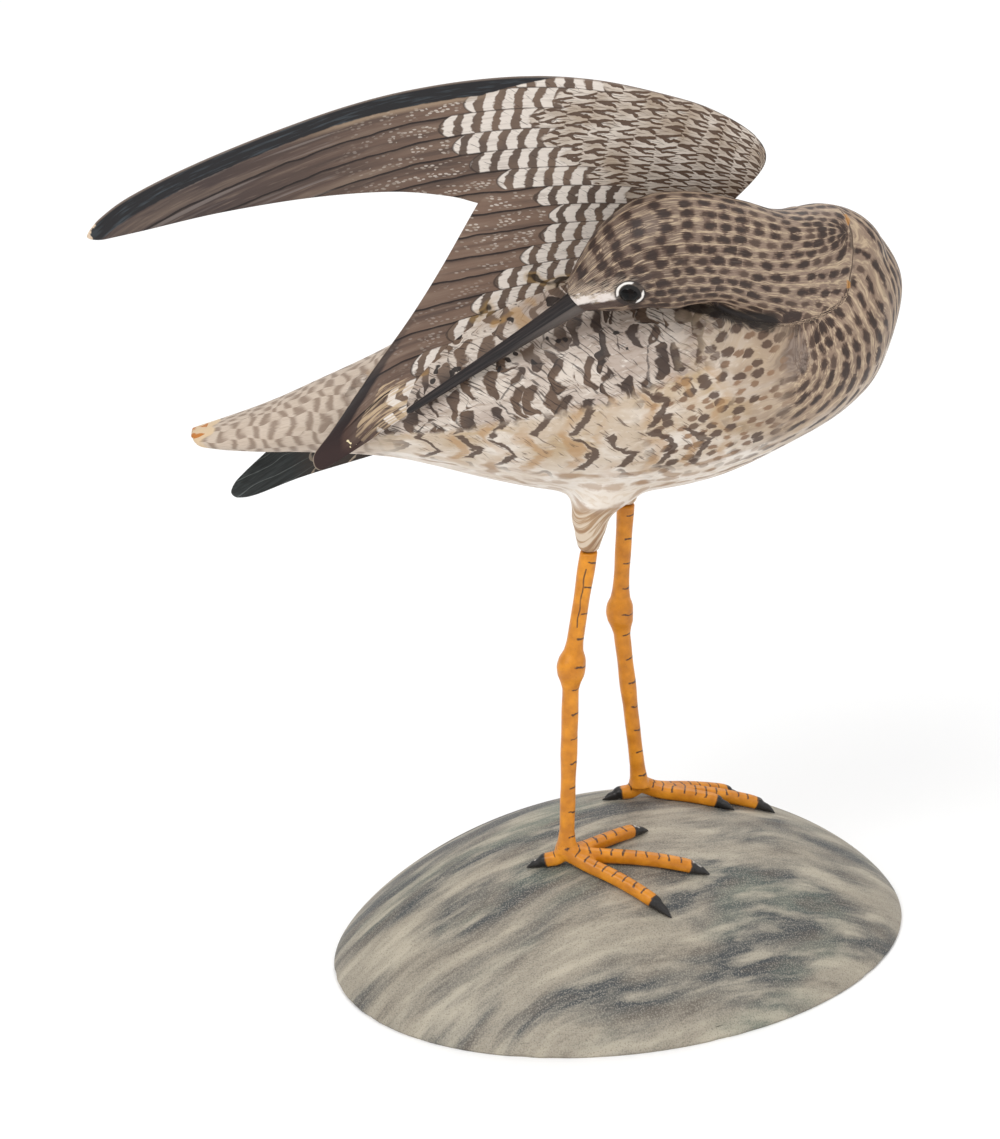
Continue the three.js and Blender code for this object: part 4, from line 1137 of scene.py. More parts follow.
eye_line = bird_point(curve_through(NECK_PATH, [EYE_SHARE - 0.01, EYE_SHARE, EYE_SHARE + 0.01]))
for name, mesh in (("body", body_mesh), ("head_and_neck", head_mesh)):
    mesh.set_sharp_from_angle(angle=np.radians(50))
    is_head = name == "head_and_neck"
    points = points_of(mesh)
    numbers = piece_numbers[name]
    flow, around, row_width, steep, core = (
        eased(values[numbers], ends_of(mesh), numbers < 0, 6)
        for values in (whole_flow, whole_round, whole_width, whole_steep, whole_core)
    )

    # Spots: how many there are up to each distance along the bird, with those on the bend
    # counted apart, and where they are painted
    at, step, long, wide = np.array(SPOT_TABLE, float).T
    grid = np.linspace(-100, 260, 721)
    per_step = 0.5 / np.interp(grid[:-1] + 0.25, at, step)
    in_bend = (grid[:-1] > 0) & (grid[:-1] < np.pi * BEND_RADIUS)
    course = np.concatenate([[0], np.cumsum(per_step * ~in_bend)])
    bend_course = np.concatenate([[0], np.cumsum(per_step * in_bend)])
    on_bend = np.interp(flow, [-4, 4, 65, 73], [0, 1, 1, 0])
    upper = np.interp(flow, [92, 112], [1, 0])
    lower = np.interp(flow, [60, 90, 160, 180], [1, 0.75, 0.4, 0])
    spotted = upper + (lower - upper) * np.interp(around, [0.42, 0.55], [0, 1])
    spotted *= np.interp(around + np.interp(flow, [20, 70], [-0.4, 0]), [0.62, 0.74], [1, 0])
    spotted = np.where(is_head, 1.0, spotted)
    dabbed = np.interp(flow, [68, 76, 108, 116], [0, 1, 1, 0])
    dabbed *= np.interp(around, [0.48, 0.56], [1, 0]) * (not is_head)
    spotted *= 1 - dabbed

    # Places with paint of their own: the hidden back and rump, the thigh tufts, and the front of
    # the breast, where rows at even distances from its middle line take over
    back = np.interp(points[:, 1], [-9, -5], [0, 1])
    rump = back * np.interp(points[:, 2], [140, 150], [0, 1]) * np.interp(flow, [160, 168], [0, 1])
    hidden = back * np.interp(points[:, 2], [150, 165], [0, 1])
    hidden *= np.interp(flow, [84, 94, 168, 178], [0, 1, 1, 0]) * (not is_head)
    tuft = np.interp(points[:, 2], [HIP_HEIGHT + 11, HIP_HEIGHT + 19], [1, 0])
    girth = around
    front = np.interp(points[:, 1], [-17, -9, 19, 27], [0, 1, 1, 0])
    front *= np.interp(flow, [8, 18, 64, 76], [0, 1, 1, 0]) * (not is_head)
    from_middle = np.abs(points[:, 1] - BREAST_MIDDLE)
    even = BREAST_ROUND + (BREAST_HALF_WIDTH - from_middle) / (BREAST_ROWS * BREAST_ROW)
    around = around + front * (even - around)
    row_width = row_width + front * (BREAST_ROW * BREAST_ROWS / SPOT_ROWS - row_width)

    # Distances from the line of the hollow under the neck, where shade is painted, and back and
    # up from the nearer eye
    near_end, far_end = bird_point(SHADED_HOLLOW)
    way = far_end - near_end
    share = np.clip((points - near_end) @ way / (way @ way), 0, 1)
    crease_gap = np.linalg.norm(points - near_end - share[:, None] * way, axis=1)
    eyes = eye_centre(1), eye_centre(-1)
    eye_near = np.where(points[:, 1:2] > (eyes[0] + eyes[1])[1] / 2, *eyes)
    eye_axis = unit(eye_line[2] - eye_line[0])
    from_eye = points - eye_near
    eye_back = np.where(is_head, -from_eye @ eye_axis, 99)
    eye_up = from_eye @ np.cross(unit(np.cross(eye_axis, Z)), eye_axis)
    add_piece(
        name,
        mesh,
        plumage,
        "head_paint" if is_head else "body_paint",
        flow=flow,
        round=around,
        girth=girth,
        row_count=np.full(len(points), SPOT_ROWS if is_head else BREAST_ROWS),
        row_width=row_width * (1 if is_head else SPOT_ROWS / BREAST_ROWS),
        spot_course=np.interp(flow, grid, course),
        spot_step=np.interp(flow, at, step),
        bend_course=np.interp(flow, grid, bend_course),
        spot_long=np.interp(flow, at, long) * (steep + (1 - steep) * on_bend),
        core=core,
        # How deep the painted shade under the neck is, strongest on the line of the hollow
        hollow=1 - crease_gap / (2.0 + 3.5 * share),
        spot_wide=np.interp(flow, at, wide),
        spotted=spotted,
        dabbed=dabbed,
        hidden=hidden,
        rump=rump * (not is_head),
        tuft=tuft,
        eye_back=eye_back,
        eye_up=eye_up,
        seam=(points - bird_point(SEAM_POINT)) @ SEAM_NORMAL,
    )


# Bill: a slender wooden spline let into the head, with a cut line between its two halves,
# painted slate black, a little paler at the base of the lower half.

BILL_TIP = (-31.1, -11.2, 21.7)
BILL_LENGTH = 61.5
BILL_TAPER = [1, 0.8, 0.66, 0.56, 0.48, 0.41, 0.34, 0.24]
BILL_SLIMNESS = 0.82
BILL_SOCKET = 1.5
BILL_GROOVE = 0.09
BILL_STEPS = 200
BILL_SIDES = 72
BILL_TIP_STEPS = 6


def bill_rings():
    """Ovals along a straight line from inside the head, whose depth follows the taper and closes
    at the tip as the root of one minus a square, with a shallow groove cut where the angle from
    the top passes a right angle."""
    share = np.linspace(0, 1, BILL_STEPS)
    root = bird_point(NECK_PATH[-1])
    towards = unit(bird_point(BILL_TIP) - root)
    path = root - towards * BILL_SOCKET + np.outer(share * (BILL_LENGTH + BILL_SOCKET), towards)
    half = curve_through(BILL_TAPER, share)[:, 0] * BILL_DEPTH / 2
    half[-BILL_TIP_STEPS:] *= np.sqrt(1 - np.linspace(0, 0.96, BILL_TIP_STEPS) ** 2)
    rings = tube_rings(path, half, half * BILL_SLIMNESS, BILL_SIDES)
    turn = np.linspace(0, 2 * np.pi, BILL_SIDES, endpoint=False)
    groove = BILL_GROOVE * np.exp(-(((np.abs(np.sin(turn)) - 1) / 0.02) ** 2))
    return path[:, None] + (rings - path[:, None]) * (1 - groove[:, None])


bill_points, bill_faces = closed_skin(bill_rings())
bill_line = unit(bird_point(BILL_TIP) - bird_point(NECK_PATH[-1]))
bill_out = (bill_points - bird_point(NECK_PATH[-1])) @ bill_line
bill_rise = unit(np.cross(np.cross(bill_line, Z), bill_line))
bill_up = (bill_points - bird_point(NECK_PATH[-1])) @ bill_rise

# Slate black oil paint on hard wood: smooth, with long faint brush streaks and a soft gloss
bill_paint, tree = new_finish("slate_black_paint_on_hardwood", Specular_IOR_Level=0.3)
out = node(tree, "Attribute", attribute_name="out", out=2)
up = node(tree, "Attribute", attribute_name="up", out=2)
streak = strokes(tree, up, out, 0.5, 16.0)
bill_colour = coat(tree, "#1f1b1c", "#3a3331", streak, 0.42, 0.7)
under_side = node(tree, "MapRange", up, 0.1, -0.6)
pale = faded(tree, under_side, out, 26.0, 2.0)
bill_colour = coat(tree, bill_colour, "#6c625c", pale, most=0.6)
bill_colour = coat(tree, bill_colour, "#161313", node(tree, "ABSOLUTE", up), 0.28, 0.1, 0.8)
bill_shine = node(tree, "MULTIPLY_ADD", streak, 0.2, 0.26)
join_finish(tree, bill_colour, bill_shine, streak, 0.08)
bill_mesh = new_mesh("bill", bill_points, bill_faces)
add_piece("bill", bill_mesh, bill_paint, "bill_paint", out=bill_out, up=bill_up)


# Eyes: black glass balls sunk in the sides of the head, so that less than half of each stands
# out. The white ring round them is paint on the head.

BALL_STEPS, BALL_SIDES = 49, 64


def ball_rings(centre, radius):
    """Level circles between the poles of a ball."""
    rise = np.linspace(-1, 1, BALL_STEPS)[1:-1] * np.pi / 2
    turn = np.linspace(0, 2 * np.pi, BALL_SIDES, endpoint=False)
    circle = np.stack([np.cos(turn), np.sin(turn), 0 * turn], 1)
    level, height = np.cos(rise)[:, None, None], np.sin(rise)[:, None, None]
    return centre + radius * (level * circle + height * Z)


# Glass, blown and painted black behind: a hard clear gloss over a faint brown iris
eye_glass, tree = new_finish("black_glass_eye", Roughness=0.06, IOR=1.5, Specular_IOR_Level=0.14)
place = node(tree, "TexCoord", out=3)
depth = node(tree, "TexNoise", {"Vector": place, "Scale": 500.0, "Detail": 2.0})
eye_colour = coat(tree, "#050505", "#120d0b", depth, 0.45, 0.6)
tree.links.new(eye_colour, tree.nodes["Principled BSDF"].inputs["Base Color"])
for name, side in (("left_eye", -1), ("right_eye", 1)):
    eye_rings = ball_rings(eye_centre(side), EYE_DIAMETER / 2)
    add_piece(name, new_mesh(name, *closed_skin(eye_rings)), eye_glass, "eye_glass")


# Raised wing: a thin blade carved from one board and glued to the flank. Its dished underside
# faces the viewer, painted with barred coverts and dark, finely speckled flight feathers.

LEADING_EDGE = [
    (-4.2, 35.9), (1.3, 40.6), (9.4, 46.7), (14.1, 50.8), (18.0, 56.2), (16.5, 60.5),
    (11.0, 64.5), (4.9, 67.0), (-5.1, 69.7), (-15.3, 70.5), (-27.3, 69.2), (-39.4, 66.0),
    (-55.6, 59.4), (-68.0, 53.0), (-74.3, 47.9),
]
INNER_TRAILING_EDGE = [
    (-33.9, 18.8), (-38.5, 16.5), (-42.7, 13.7), (-43.8, 16.0), (-41.1, 19.6), (-36.3, 25.9),
    (-31.2, 32.7), (-26.4, 40.6), (-21.0, 50.9),
]
OUTER_TRAILING_EDGE = [
    (-21.0, 50.9), (-25.2, 52.1), (-32.9, 52.9), (-43.8, 52.2), (-56.0, 50.2), (-66.9, 47.6),
    (-74.0, 46.0),
]
WING_THICKNESS = 4.4
WING_HALF_THICKNESS = [
    0.5, 0.5, 0.5, 0.55, 0.6, 0.62, 0.6, 0.56, 0.5, 0.46, 0.42, 0.36, 0.3, 0.24, 0.16,
]
WING_SIDE = -4.27
WING_SPLAY = 0.06
DISH_HEIGHT = 33.0
DISH_RADIUS = 97.0
FLARE = 4.85
FLARE_HEIGHT = 20.4
ROOT_TURN = 3.4
ROOT_TURN_SHARE = 0.1
ROLL_DEPTH = 1.7
ROLL_CENTRE = 0.24
ROLL_SPREAD = 0.1
ROW_TOP = [(24, 47), *LEADING_EDGE[4:], (-80, 42)]
ROW_BOTTOM = [
    (26, 26), (22.2, 31.4), (9, 32.5), (-4.2, 32.0), (-18.0, 28.2), (-31.8, 23.5), (-38, 19),
    (-43.7, 13.8), (-49, 8), (-54, 2),
]
ROW_COUNT = 14.0
COVERT_TIPS = [
    0.51, 0.548, 0.568, 0.55, 0.528, 0.496, 0.45, 0.428, 0.433, 0.449, 0.472, 0.49, 0.51,
    0.545, 0.59,
]
SMALL_COVERT = (2.1, 6.6)
SMALL_COVERT_REACH = 60.0
ROW_SPACING = 5.5
LARGE_BAR_GAP = 5.4
UPPER_FEATHER = 9.0
WING_TIP_BLUNT = 0.025
LINES_TRIED = 400
ROWS_MEASURED = 40
PAST_LINE = 0.15


def wing_rings(steps=360, sides=150):
    """Flat ovals from the leading to the trailing edge. The sheet leans out to the rear, curves
    outwards with the square of the height above its deepest line, and flares out round the
    flank below it by a half wave of a cosine. Gives the rings and each point's share of the
    way from the leading edge, its distance from each edge and the side that it faces."""
    share = np.linspace(0, 1, steps)
    corner = (len(INNER_TRAILING_EDGE) - 1) / (len(LEADING_EDGE) - 1)
    share = np.sort(np.concatenate([share, [corner - 1e-4, corner, corner + 1e-4]]))
    front = curve_through(LEADING_EDGE, share)
    inner = curve_through(INNER_TRAILING_EDGE, np.clip(share / corner, 0, 1))
    outer = curve_through(OUTER_TRAILING_EDGE, np.clip((share - corner) / (1 - corner), 0, 1))
    back = np.where(share[:, None] <= corner, inner, outer)
    half = curve_through(WING_HALF_THICKNESS, share)[:, 0] * WING_THICKNESS
    turn = np.linspace(0, 2 * np.pi, sides, endpoint=False)
    chord = (1 - np.cos(turn)) / 2
    flat = front[:, None] + (back - front)[:, None] * chord[:, None]
    flat = np.stack([flat[..., 0], 0 * flat[..., 0], flat[..., 1]], -1)
    rings = bird_point(flat)
    rise = rings[..., 2] - HIP_HEIGHT - DISH_HEIGHT / 100 * BODY_LENGTH
    fall = np.clip(-rise / (FLARE_HEIGHT / 100 * BODY_LENGTH), 0, 1)
    bulge = np.clip(rise, 0, None) ** 2 / (2 * DISH_RADIUS / 100 * BODY_LENGTH)
    bulge += FLARE / 100 * BODY_LENGTH * (1 - np.cos(np.pi * fall)) / 2
    root = ROOT_TURN * np.clip(1 - share / ROOT_TURN_SHARE, 0, None) ** 2
    roll = ROLL_DEPTH * np.exp(-(((share - ROLL_CENTRE) / ROLL_SPREAD) ** 2))
    turned = (WING_SIDE + root[:, None] - roll[:, None] * chord**12) / 100 * BODY_LENGTH
    rings[..., 1] = half[:, None] * np.sin(turn) + turned + WING_SPLAY * rings[..., 0] - bulge
    tip = (share - (1 - WING_TIP_BLUNT)) / WING_TIP_BLUNT
    blunt = np.sqrt(1 - np.clip(tip, 0, 0.995) ** 2)[:, None, None]
    rings = rings.mean(1, keepdims=True) * (1 - blunt) + rings * blunt
    width = np.linalg.norm(back - front, axis=1)[:, None] / 100 * BODY_LENGTH
    return rings, width * chord, width * (1 - chord), np.broadcast_to(np.sin(turn), rings.shape[:2])


def feather_rows(points):
    """Where points lie in the wing's rows of feathers. The rows run from the wrist to the tip,
    blended evenly from the leading edge to a line along the flank. A point's place along them
    is where the straight line between those two passes through it, found from a change of sign
    among many such lines, and its row is its share of the way down that line. Gives how far out
    it lies along its row in mm, its row, how far it lies inside the line of the coverts' tips,
    and how much further out that line is one row on."""
    share = np.linspace(0, 1, LINES_TRIED)
    top, bottom = curve_through(ROW_TOP, share), curve_through(ROW_BOTTOM, share)
    spot = (points - (0, 0, HIP_HEIGHT))[:, [0, 2]] / BODY_LENGTH * 100
    down = bottom - top
    side = down[:, 0] * (spot[:, 1, None] - top[:, 1]) - down[:, 1] * (spot[:, 0, None] - top[:, 0])
    index = (side[:, :-1] * side[:, 1:] <= 0).argmax(1)
    first = side[np.arange(len(spot)), index]
    second = side[np.arange(len(spot)), index + 1]
    place = (index + first / (first - second + 1e-12)) / (LINES_TRIED - 1)
    start, end = curve_through(ROW_TOP, place), curve_through(ROW_BOTTOM, place)
    row = ((spot - start) * (end - start)).sum(1) / ((end - start) ** 2).sum(1)
    row = np.clip(row, -PAST_LINE, 1 + PAST_LINE) * ROW_COUNT
    drops = np.linspace(-PAST_LINE, 1 + PAST_LINE, ROWS_MEASURED)[:, None, None]
    steps = np.linalg.norm(np.diff(top + drops * down, axis=1), axis=2) / 100 * BODY_LENGTH
    lengths = np.concatenate([np.zeros((ROWS_MEASURED, 1)), np.cumsum(steps, axis=1)], 1)

    def length_at(at):
        """How far along its row each point's line crosses it, between four measured lengths."""
        high = (row / ROW_COUNT + PAST_LINE) / (1 + 2 * PAST_LINE) * (ROWS_MEASURED - 1)
        low = np.clip(high.astype(int), 0, ROWS_MEASURED - 2)
        wide = np.clip(at, 0, 1) * (LINES_TRIED - 1)
        near = np.clip(wide.astype(int), 0, LINES_TRIED - 2)
        table = lengths[low[:, None] + [0, 0, 1, 1], near[:, None] + [0, 1, 0, 1]]
        u, v = (high - low)[:, None], (wide - near)[:, None]
        share = np.hstack([(1 - u) * (1 - v), (1 - u) * v, u * (1 - v), u * v])
        return (table * share).sum(1)

    out = length_at(place)
    tips = np.interp(row, np.arange(len(COVERT_TIPS)), COVERT_TIPS)
    last = np.clip(row.astype(int), 0, len(COVERT_TIPS) - 2)
    lean = length_at(np.take(COVERT_TIPS, last + 1)) - length_at(np.take(COVERT_TIPS, last))
    return out, row, length_at(tips) - out, lean


rings, from_front, from_back, side = wing_rings()
wing_points, wing_faces = closed_skin(rings)
# Points above the CAD model's top come down to just below it
wing_points[:, 2] = np.minimum(wing_points[:, 2], cad_box[1][2] * 1000 - 0.01)
wing_out, wing_row, wing_covert, wing_lean = feather_rows(wing_points)
# Small coverts grow evenly from the wrist outwards, so their number is a logarithm of the way
small, large = SMALL_COVERT
growth = (large - small) / SMALL_COVERT_REACH
wing_course = np.log1p(growth * np.clip(wing_out, 0, SMALL_COVERT_REACH) / small) / growth
wing_course += np.clip(wing_out - SMALL_COVERT_REACH, 0, None) / large

# Oil paint on pine: matte, brushed in long hairs, with each feather's marks in thicker strokes
wing_paint, tree = new_finish("barred_feather_oil_paint_on_pine", Specular_IOR_Level=0.25)
out, row, covert, lean, course, lead, trail, facing = (
    node(tree, "Attribute", attribute_name=name, out=2)
    for name in ("out", "row", "covert", "lean", "course", "lead", "trail", "side")
)
line = node(tree, "ROUND", row)
off_row = node(tree, "SUBTRACT", row, line)
covert = node(tree, "SUBTRACT", covert, node(tree, "MULTIPLY", off_row, lean))
place = node(tree, "TexCoord", out=3)
wobble = node(tree, "TexNoise", {"Vector": place, "Scale": 420.0, "Detail": 2.0})
blotch = node(tree, "TexNoise", {"Vector": place, "Scale": 90.0, "Detail": 2.0})
row_mm = node(tree, "MULTIPLY", row, ROW_SPACING)
hairs = strokes(tree, row_mm, out, 0.7, 12.0)
long_strokes = strokes(tree, row_mm, out, 2.2, 45.0)

# The flight feathers: brown grey, darker to the tip, parted by dark lines, finely speckled, and
# with painted shade beside each line
height = node(tree, "SeparateXYZ", place, out=2)
rear = node(tree, "SeparateXYZ", place)
primary = node(tree, "MapRange", height, 0.228, 0.236)
flight = coat(tree, "#776052", "#473b38", rear, -0.045, -0.115)
flight = coat(tree, flight, "#8d7a6a", long_strokes, 0.5, 0.75, 0.55)
flight = coat(tree, flight, "#463a35", long_strokes, 0.48, 0.3, 0.7)
flight = coat(tree, flight, "#978576", hairs, 0.56, 0.74, 0.35)
row_wobble = node(tree, "MULTIPLY_ADD", blotch, 0.3, node(tree, "ADD", row, -0.15))
in_row = node(tree, "FRACT", node(tree, "ADD", row_wobble, 0.5))
# Painted shade: each feather darkened beside the line that parts it from the next
flight = coat(tree, flight, "#3a302c", in_row, 0.3, 0.02, 0.6)
quill = node(tree, "ABSOLUTE", node(tree, "SUBTRACT", in_row, 0.04))
quill = node(tree, "MULTIPLY_ADD", wobble, 0.06, quill)
flight = coat(tree, flight, "#241c1a", quill, 0.1, 0.06, 0.9)
# Painted sheen: long pale glints on the flight feathers towards the tip
glints = strokes(tree, row_mm, out, 1.1, 60.0, Detail=1.0)
glint_tip = faded(tree, glints, rear, -0.06, -0.085)
flight = coat(tree, flight, "#8a7f79", glint_tip, 0.58, 0.68, 0.5)

past = node(tree, "MULTIPLY", covert, -1.0)
fleck_at = node(
    tree,
    "CombineXYZ",
    node(tree, "DIVIDE", node(tree, "MULTIPLY_ADD", row, ROW_SPACING, out), 1.7),
    node(tree, "MULTIPLY", row, 7.4),
)
fleck = {"Vector": fleck_at, "Scale": 1.0, "Randomness": 0.8}
fleck_gap = node(tree, "TexVoronoi", fleck, voronoi_dimensions="2D")
fleck_pick = node(tree, "TexVoronoi", fleck, voronoi_dimensions="2D", out=1)
fleck_pick = node(tree, "SeparateXYZ", fleck_pick)
group = strokes(tree, node(tree, "MULTIPLY", row, 1.0), out, 0.45, 8.0, Detail=1.0)
reach = node(tree, "MULTIPLY_ADD", primary, 58.0, 24.0)
fading = node(tree, "MapRange", past, 2.0, reach, 1.0, 0.12)
some = faded(tree, fading, group, 0.42, 0.56)
mid_row = node(tree, "ABSOLUTE", node(tree, "SUBTRACT", in_row, 0.52))
some = faded(tree, some, mid_row, 0.42, 0.3)
flecks = node(tree, "LESS_THAN", fleck_pick, some)
flecks = faded(tree, flecks, fleck_gap, 0.38, 0.24)
flecks = faded(tree, flecks, past, 0.5, 2.0)
fleck_tone = coat(tree, "#958779", "#cdc3b8", fleck_pick, 0.0, 0.5)
flecks = node(tree, "MULTIPLY", flecks, node(tree, "MapRange", row, 7.0, 10.0, 1.0, 0.4))
flecks = faded(tree, flecks, rear, -0.085, -0.055)
flight = coat(tree, flight, fleck_tone, flecks, most=0.8)

# The small coverts: pale, each with a brown arrowhead, smaller and darker towards the wrist, in
# 1.9 rows to one of the flight feathers
crooked = node(tree, "MULTIPLY_ADD", blotch, 1.6, node(tree, "MULTIPLY", row, 1.9))
small_place, small_across, small_inside, small_chance = feathers(
    tree,
    node(tree, "MULTIPLY_ADD", wobble, 0.55, course),
    node(tree, "MULTIPLY_ADD", wobble, 0.22, crooked),
    0.55,
)
spread = node(tree, "ABSOLUTE", small_across)
coverts = coat(tree, "#d8cdc1", "#a8947f", blotch, 0.42, 0.66, 0.8)
coverts = coat(tree, coverts, "#776659", hairs, 0.5, 0.75, 0.55)
near_wrist = node(tree, "MapRange", out, 75.0, 15.0)
arrow = node(tree, "MULTIPLY_ADD", spread, 1.1, small_place)
arrow = node(tree, "MULTIPLY_ADD", wobble, 0.5, node(tree, "ADD", arrow, -1.6))
arrow = node(tree, "ABSOLUTE", node(tree, "MULTIPLY_ADD", small_chance, 0.22, arrow))
thick = node(tree, "MULTIPLY_ADD", small_chance, 0.1, 0.2)
thick = node(tree, "MULTIPLY_ADD", near_wrist, 0.06, thick)
spread_end = node(tree, "MapRange", spread, 0.7, 1.0, 0.0, 0.3)
arrow = node(tree, "SUBTRACT", node(tree, "ADD", arrow, spread_end), thick)
arrow = node(tree, "MULTIPLY_ADD", hairs, 0.16, node(tree, "ADD", arrow, -0.08))
lozenge = node(tree, "ABSOLUTE", node(tree, "ADD", small_place, -0.95))
lozenge = node(tree, "MULTIPLY_ADD", spread, 0.9, lozenge)
lozenge = node(tree, "MULTIPLY_ADD", hairs, 0.5, lozenge)
coverts = coat(tree, coverts, "#e9e0d5", lozenge, 0.8, 0.5, 0.9)
coverts = coat(tree, coverts, "#553f30", arrow, 0.1, 0.02, 0.95)
shaft = node(tree, "MULTIPLY_ADD", wobble, 0.14, spread)
shaft = node(tree, "MULTIPLY_ADD", small_chance, 0.08, shaft)
coverts = coat(tree, coverts, "#54443a", shaft, 0.19, 0.12, 0.7)
rim_line = node(tree, "MULTIPLY_ADD", wobble, 0.12, small_inside)
coverts = coat(tree, coverts, "#5a4a3e", rim_line, 0.13, 0.07, 0.6)
# Painted shadow: the coverts darkened low at the wing's front, where the head's shade falls
painted_head_shadow = node(tree, "MapRange", height, 0.245, 0.232)
painted_head_shadow = faded(tree, painted_head_shadow, rear, -0.012, 0.01)
coverts = coat(tree, coverts, "#3d2f26", painted_head_shadow, most=0.45)

# The large coverts: white, evenly barred with brown, with a rounded white tip
off = node(tree, "MULTIPLY", off_row, 2.0)
bulge = node(tree, "MULTIPLY", off, off)
inside_tip = node(tree, "SUBTRACT", covert, node(tree, "MULTIPLY", bulge, 3.0))
row_chance = node(tree, "TexWhiteNoise", {"W": line}, noise_dimensions="1D")
bar_place = node(tree, "MULTIPLY_ADD", bulge, -0.9, covert)
bar_place = node(tree, "MULTIPLY_ADD", wobble, 2.4, node(tree, "ADD", bar_place, -2.4))
bar_place = node(tree, "MULTIPLY_ADD", row_chance, 1.8, bar_place)
bar_place = node(tree, "DIVIDE", bar_place, LARGE_BAR_GAP)
bar_place = node(tree, "MULTIPLY_ADD", node(tree, "MODULO", line, 2.0), 0.42, bar_place)
bar = off_middle(tree, bar_place)
large_coverts = coat(tree, "#ded4ca", "#b3a79d", hairs, 0.5, 0.7, 0.7)
bar = node(tree, "MULTIPLY_ADD", hairs, 0.14, node(tree, "ADD", bar, -0.07))
bar_tone = coat(tree, "#67503f", "#4b382c", blotch, 0.4, 0.6)
large_coverts = coat(tree, large_coverts, bar_tone, bar, 0.24, 0.31, 0.93)
slanted = node(tree, "MULTIPLY_ADD", out, 0.5, row_mm)
barb = strokes(tree, slanted, out, 0.45, 6.0)
large_coverts = coat(tree, large_coverts, "#3c2f2a", barb, 0.62, 0.68, 0.75)
seam = node(tree, "MULTIPLY_ADD", wobble, 0.14, node(tree, "ABSOLUTE", off))
large_coverts = coat(tree, large_coverts, "#453830", seam, 0.98, 1.04, 0.75)
stain = faded(tree, blotch, row, 8.0, 10.0)
large_coverts = coat(tree, large_coverts, "#b08c50", stain, 0.58, 0.64, 0.45)
large_coverts = coat(tree, large_coverts, "#231a16", stain, 0.64, 0.66, 0.9)

covert_edge = node(tree, "MULTIPLY_ADD", wobble, 5.0, node(tree, "ADD", covert, -27.5))
covert_edge = node(tree, "MULTIPLY_ADD", bulge, -4.0, covert_edge)
all_coverts = coat(tree, large_coverts, coverts, covert_edge, -0.6, 0.6)
wing_colour = coat(tree, flight, all_coverts, inside_tip, -0.25, 0.1)
tip_line = node(tree, "ABSOLUTE", node(tree, "ADD", inside_tip, 0.1))
wing_colour = coat(tree, wing_colour, "#2f2622", tip_line, 0.45, 0.2, 0.6)

# The leading edge: a slate black strip with blue-grey hairs, over a thin pale line, and a
# painted highlight along the very edge
strip_width = node(tree, "MapRange", out, 92.0, 112.0, 0.0, 5.4)
strip = node(tree, "SUBTRACT", lead, strip_width)
strip = node(tree, "MULTIPLY_ADD", wobble, 0.7, strip)
strip_colour = coat(tree, "#232224", "#5d6a72", hairs, 0.52, 0.8, 0.55)
under_strip = node(tree, "MapRange", strip, 2.4, 1.2)
under_strip = faded(tree, under_strip, out, 104.0, 120.0)
under_strip = faded(tree, under_strip, rear, -0.095, -0.08)
wing_colour = coat(tree, wing_colour, "#a08a73", under_strip, most=0.7)
wing_colour = coat(tree, wing_colour, strip_colour, strip, 0.7, 0.3)
# Painted highlight: the very leading edge paler, where light catches the wing's outline
rim = node(tree, "MapRange", lead, 0.7, 0.2)
rim = faded(tree, rim, out, 30.0, 60.0)
wing_colour = coat(tree, wing_colour, "#85756a", rim, most=0.7)

tip_chip = node(tree, "MULTIPLY_ADD", wobble, 0.004, rear)
wing_colour = coat(tree, wing_colour, "#d8c1a8", tip_chip, -0.1488, -0.1492)

# The rolled last feathers: dark brown with a pale edge and, on the inside of the roll, a painted
# reddish brown highlight; a broad dark end with crumbs of bare wood, and pale streaks beside it
rolled = node(tree, "MapRange", height, 0.205, 0.135, 3.4, 15.0)
rolled = node(tree, "SUBTRACT", node(tree, "MULTIPLY_ADD", long_strokes, 3.0, trail), rolled)
low = node(tree, "MapRange", height, 0.21, 0.19)
roll = node(tree, "MULTIPLY", node(tree, "MapRange", rolled, 3.0, 1.2), low)
# Painted highlight: reddish brown on the inner side of the dark roll, where light falls on its
# curve
roll_highlight = node(tree, "MULTIPLY", node(tree, "MapRange", rolled, 6.5, 3.5), low)
roll_highlight = faded(tree, roll_highlight, height, 0.185, 0.165)
wing_colour = coat(tree, wing_colour, "#5c4034", roll_highlight, most=0.9)
wing_colour = coat(tree, wing_colour, "#211a1b", roll, most=0.95)
streaked = faded(tree, hairs, height, 0.198, 0.188)
streaked = faded(tree, streaked, rolled, 5.5, 8.0)
wing_colour = coat(tree, wing_colour, "#c4ab8b", streaked, 0.47, 0.56, 0.8)
lobe = node(tree, "MapRange", height, 0.18, 0.171)
wing_colour = coat(tree, wing_colour, "#372624", lobe, most=0.85)
# A pale line along the trailing edge of the rolled feathers
pale_edge = node(tree, "MULTIPLY_ADD", wobble, 0.5, trail)
pale_edge = node(tree, "MULTIPLY", node(tree, "MapRange", pale_edge, 0.65, 0.4), low)
wing_colour = coat(tree, wing_colour, "#9d8d7c", pale_edge, most=0.8)
crumb = node(tree, "TexNoise", {"Vector": place, "Scale": 700.0, "Detail": 1.0})
crumb = faded(tree, crumb, rolled, 3.2, 4.2)
crumb = faded(tree, crumb, rolled, 6.8, 5.8)
crumb = faded(tree, crumb, height, 0.178, 0.174)
wing_colour = coat(tree, wing_colour, "#e3d3ab", crumb, 0.56, 0.58)

# The hidden upper side: dark brown feathers with pale notched edges
UPPER_COLOURS = ("#40362f", "#2f2824", "#b8a793")
upper_course = node(tree, "DIVIDE", out, UPPER_FEATHER)
upper_row = node(tree, "MULTIPLY", row, 1.2)
upper = notched_feathers(tree, upper_course, upper_row, hairs, wobble, UPPER_COLOURS, 0.28)
wing_colour = coat(tree, wing_colour, upper, facing, 0.02, 0.2)

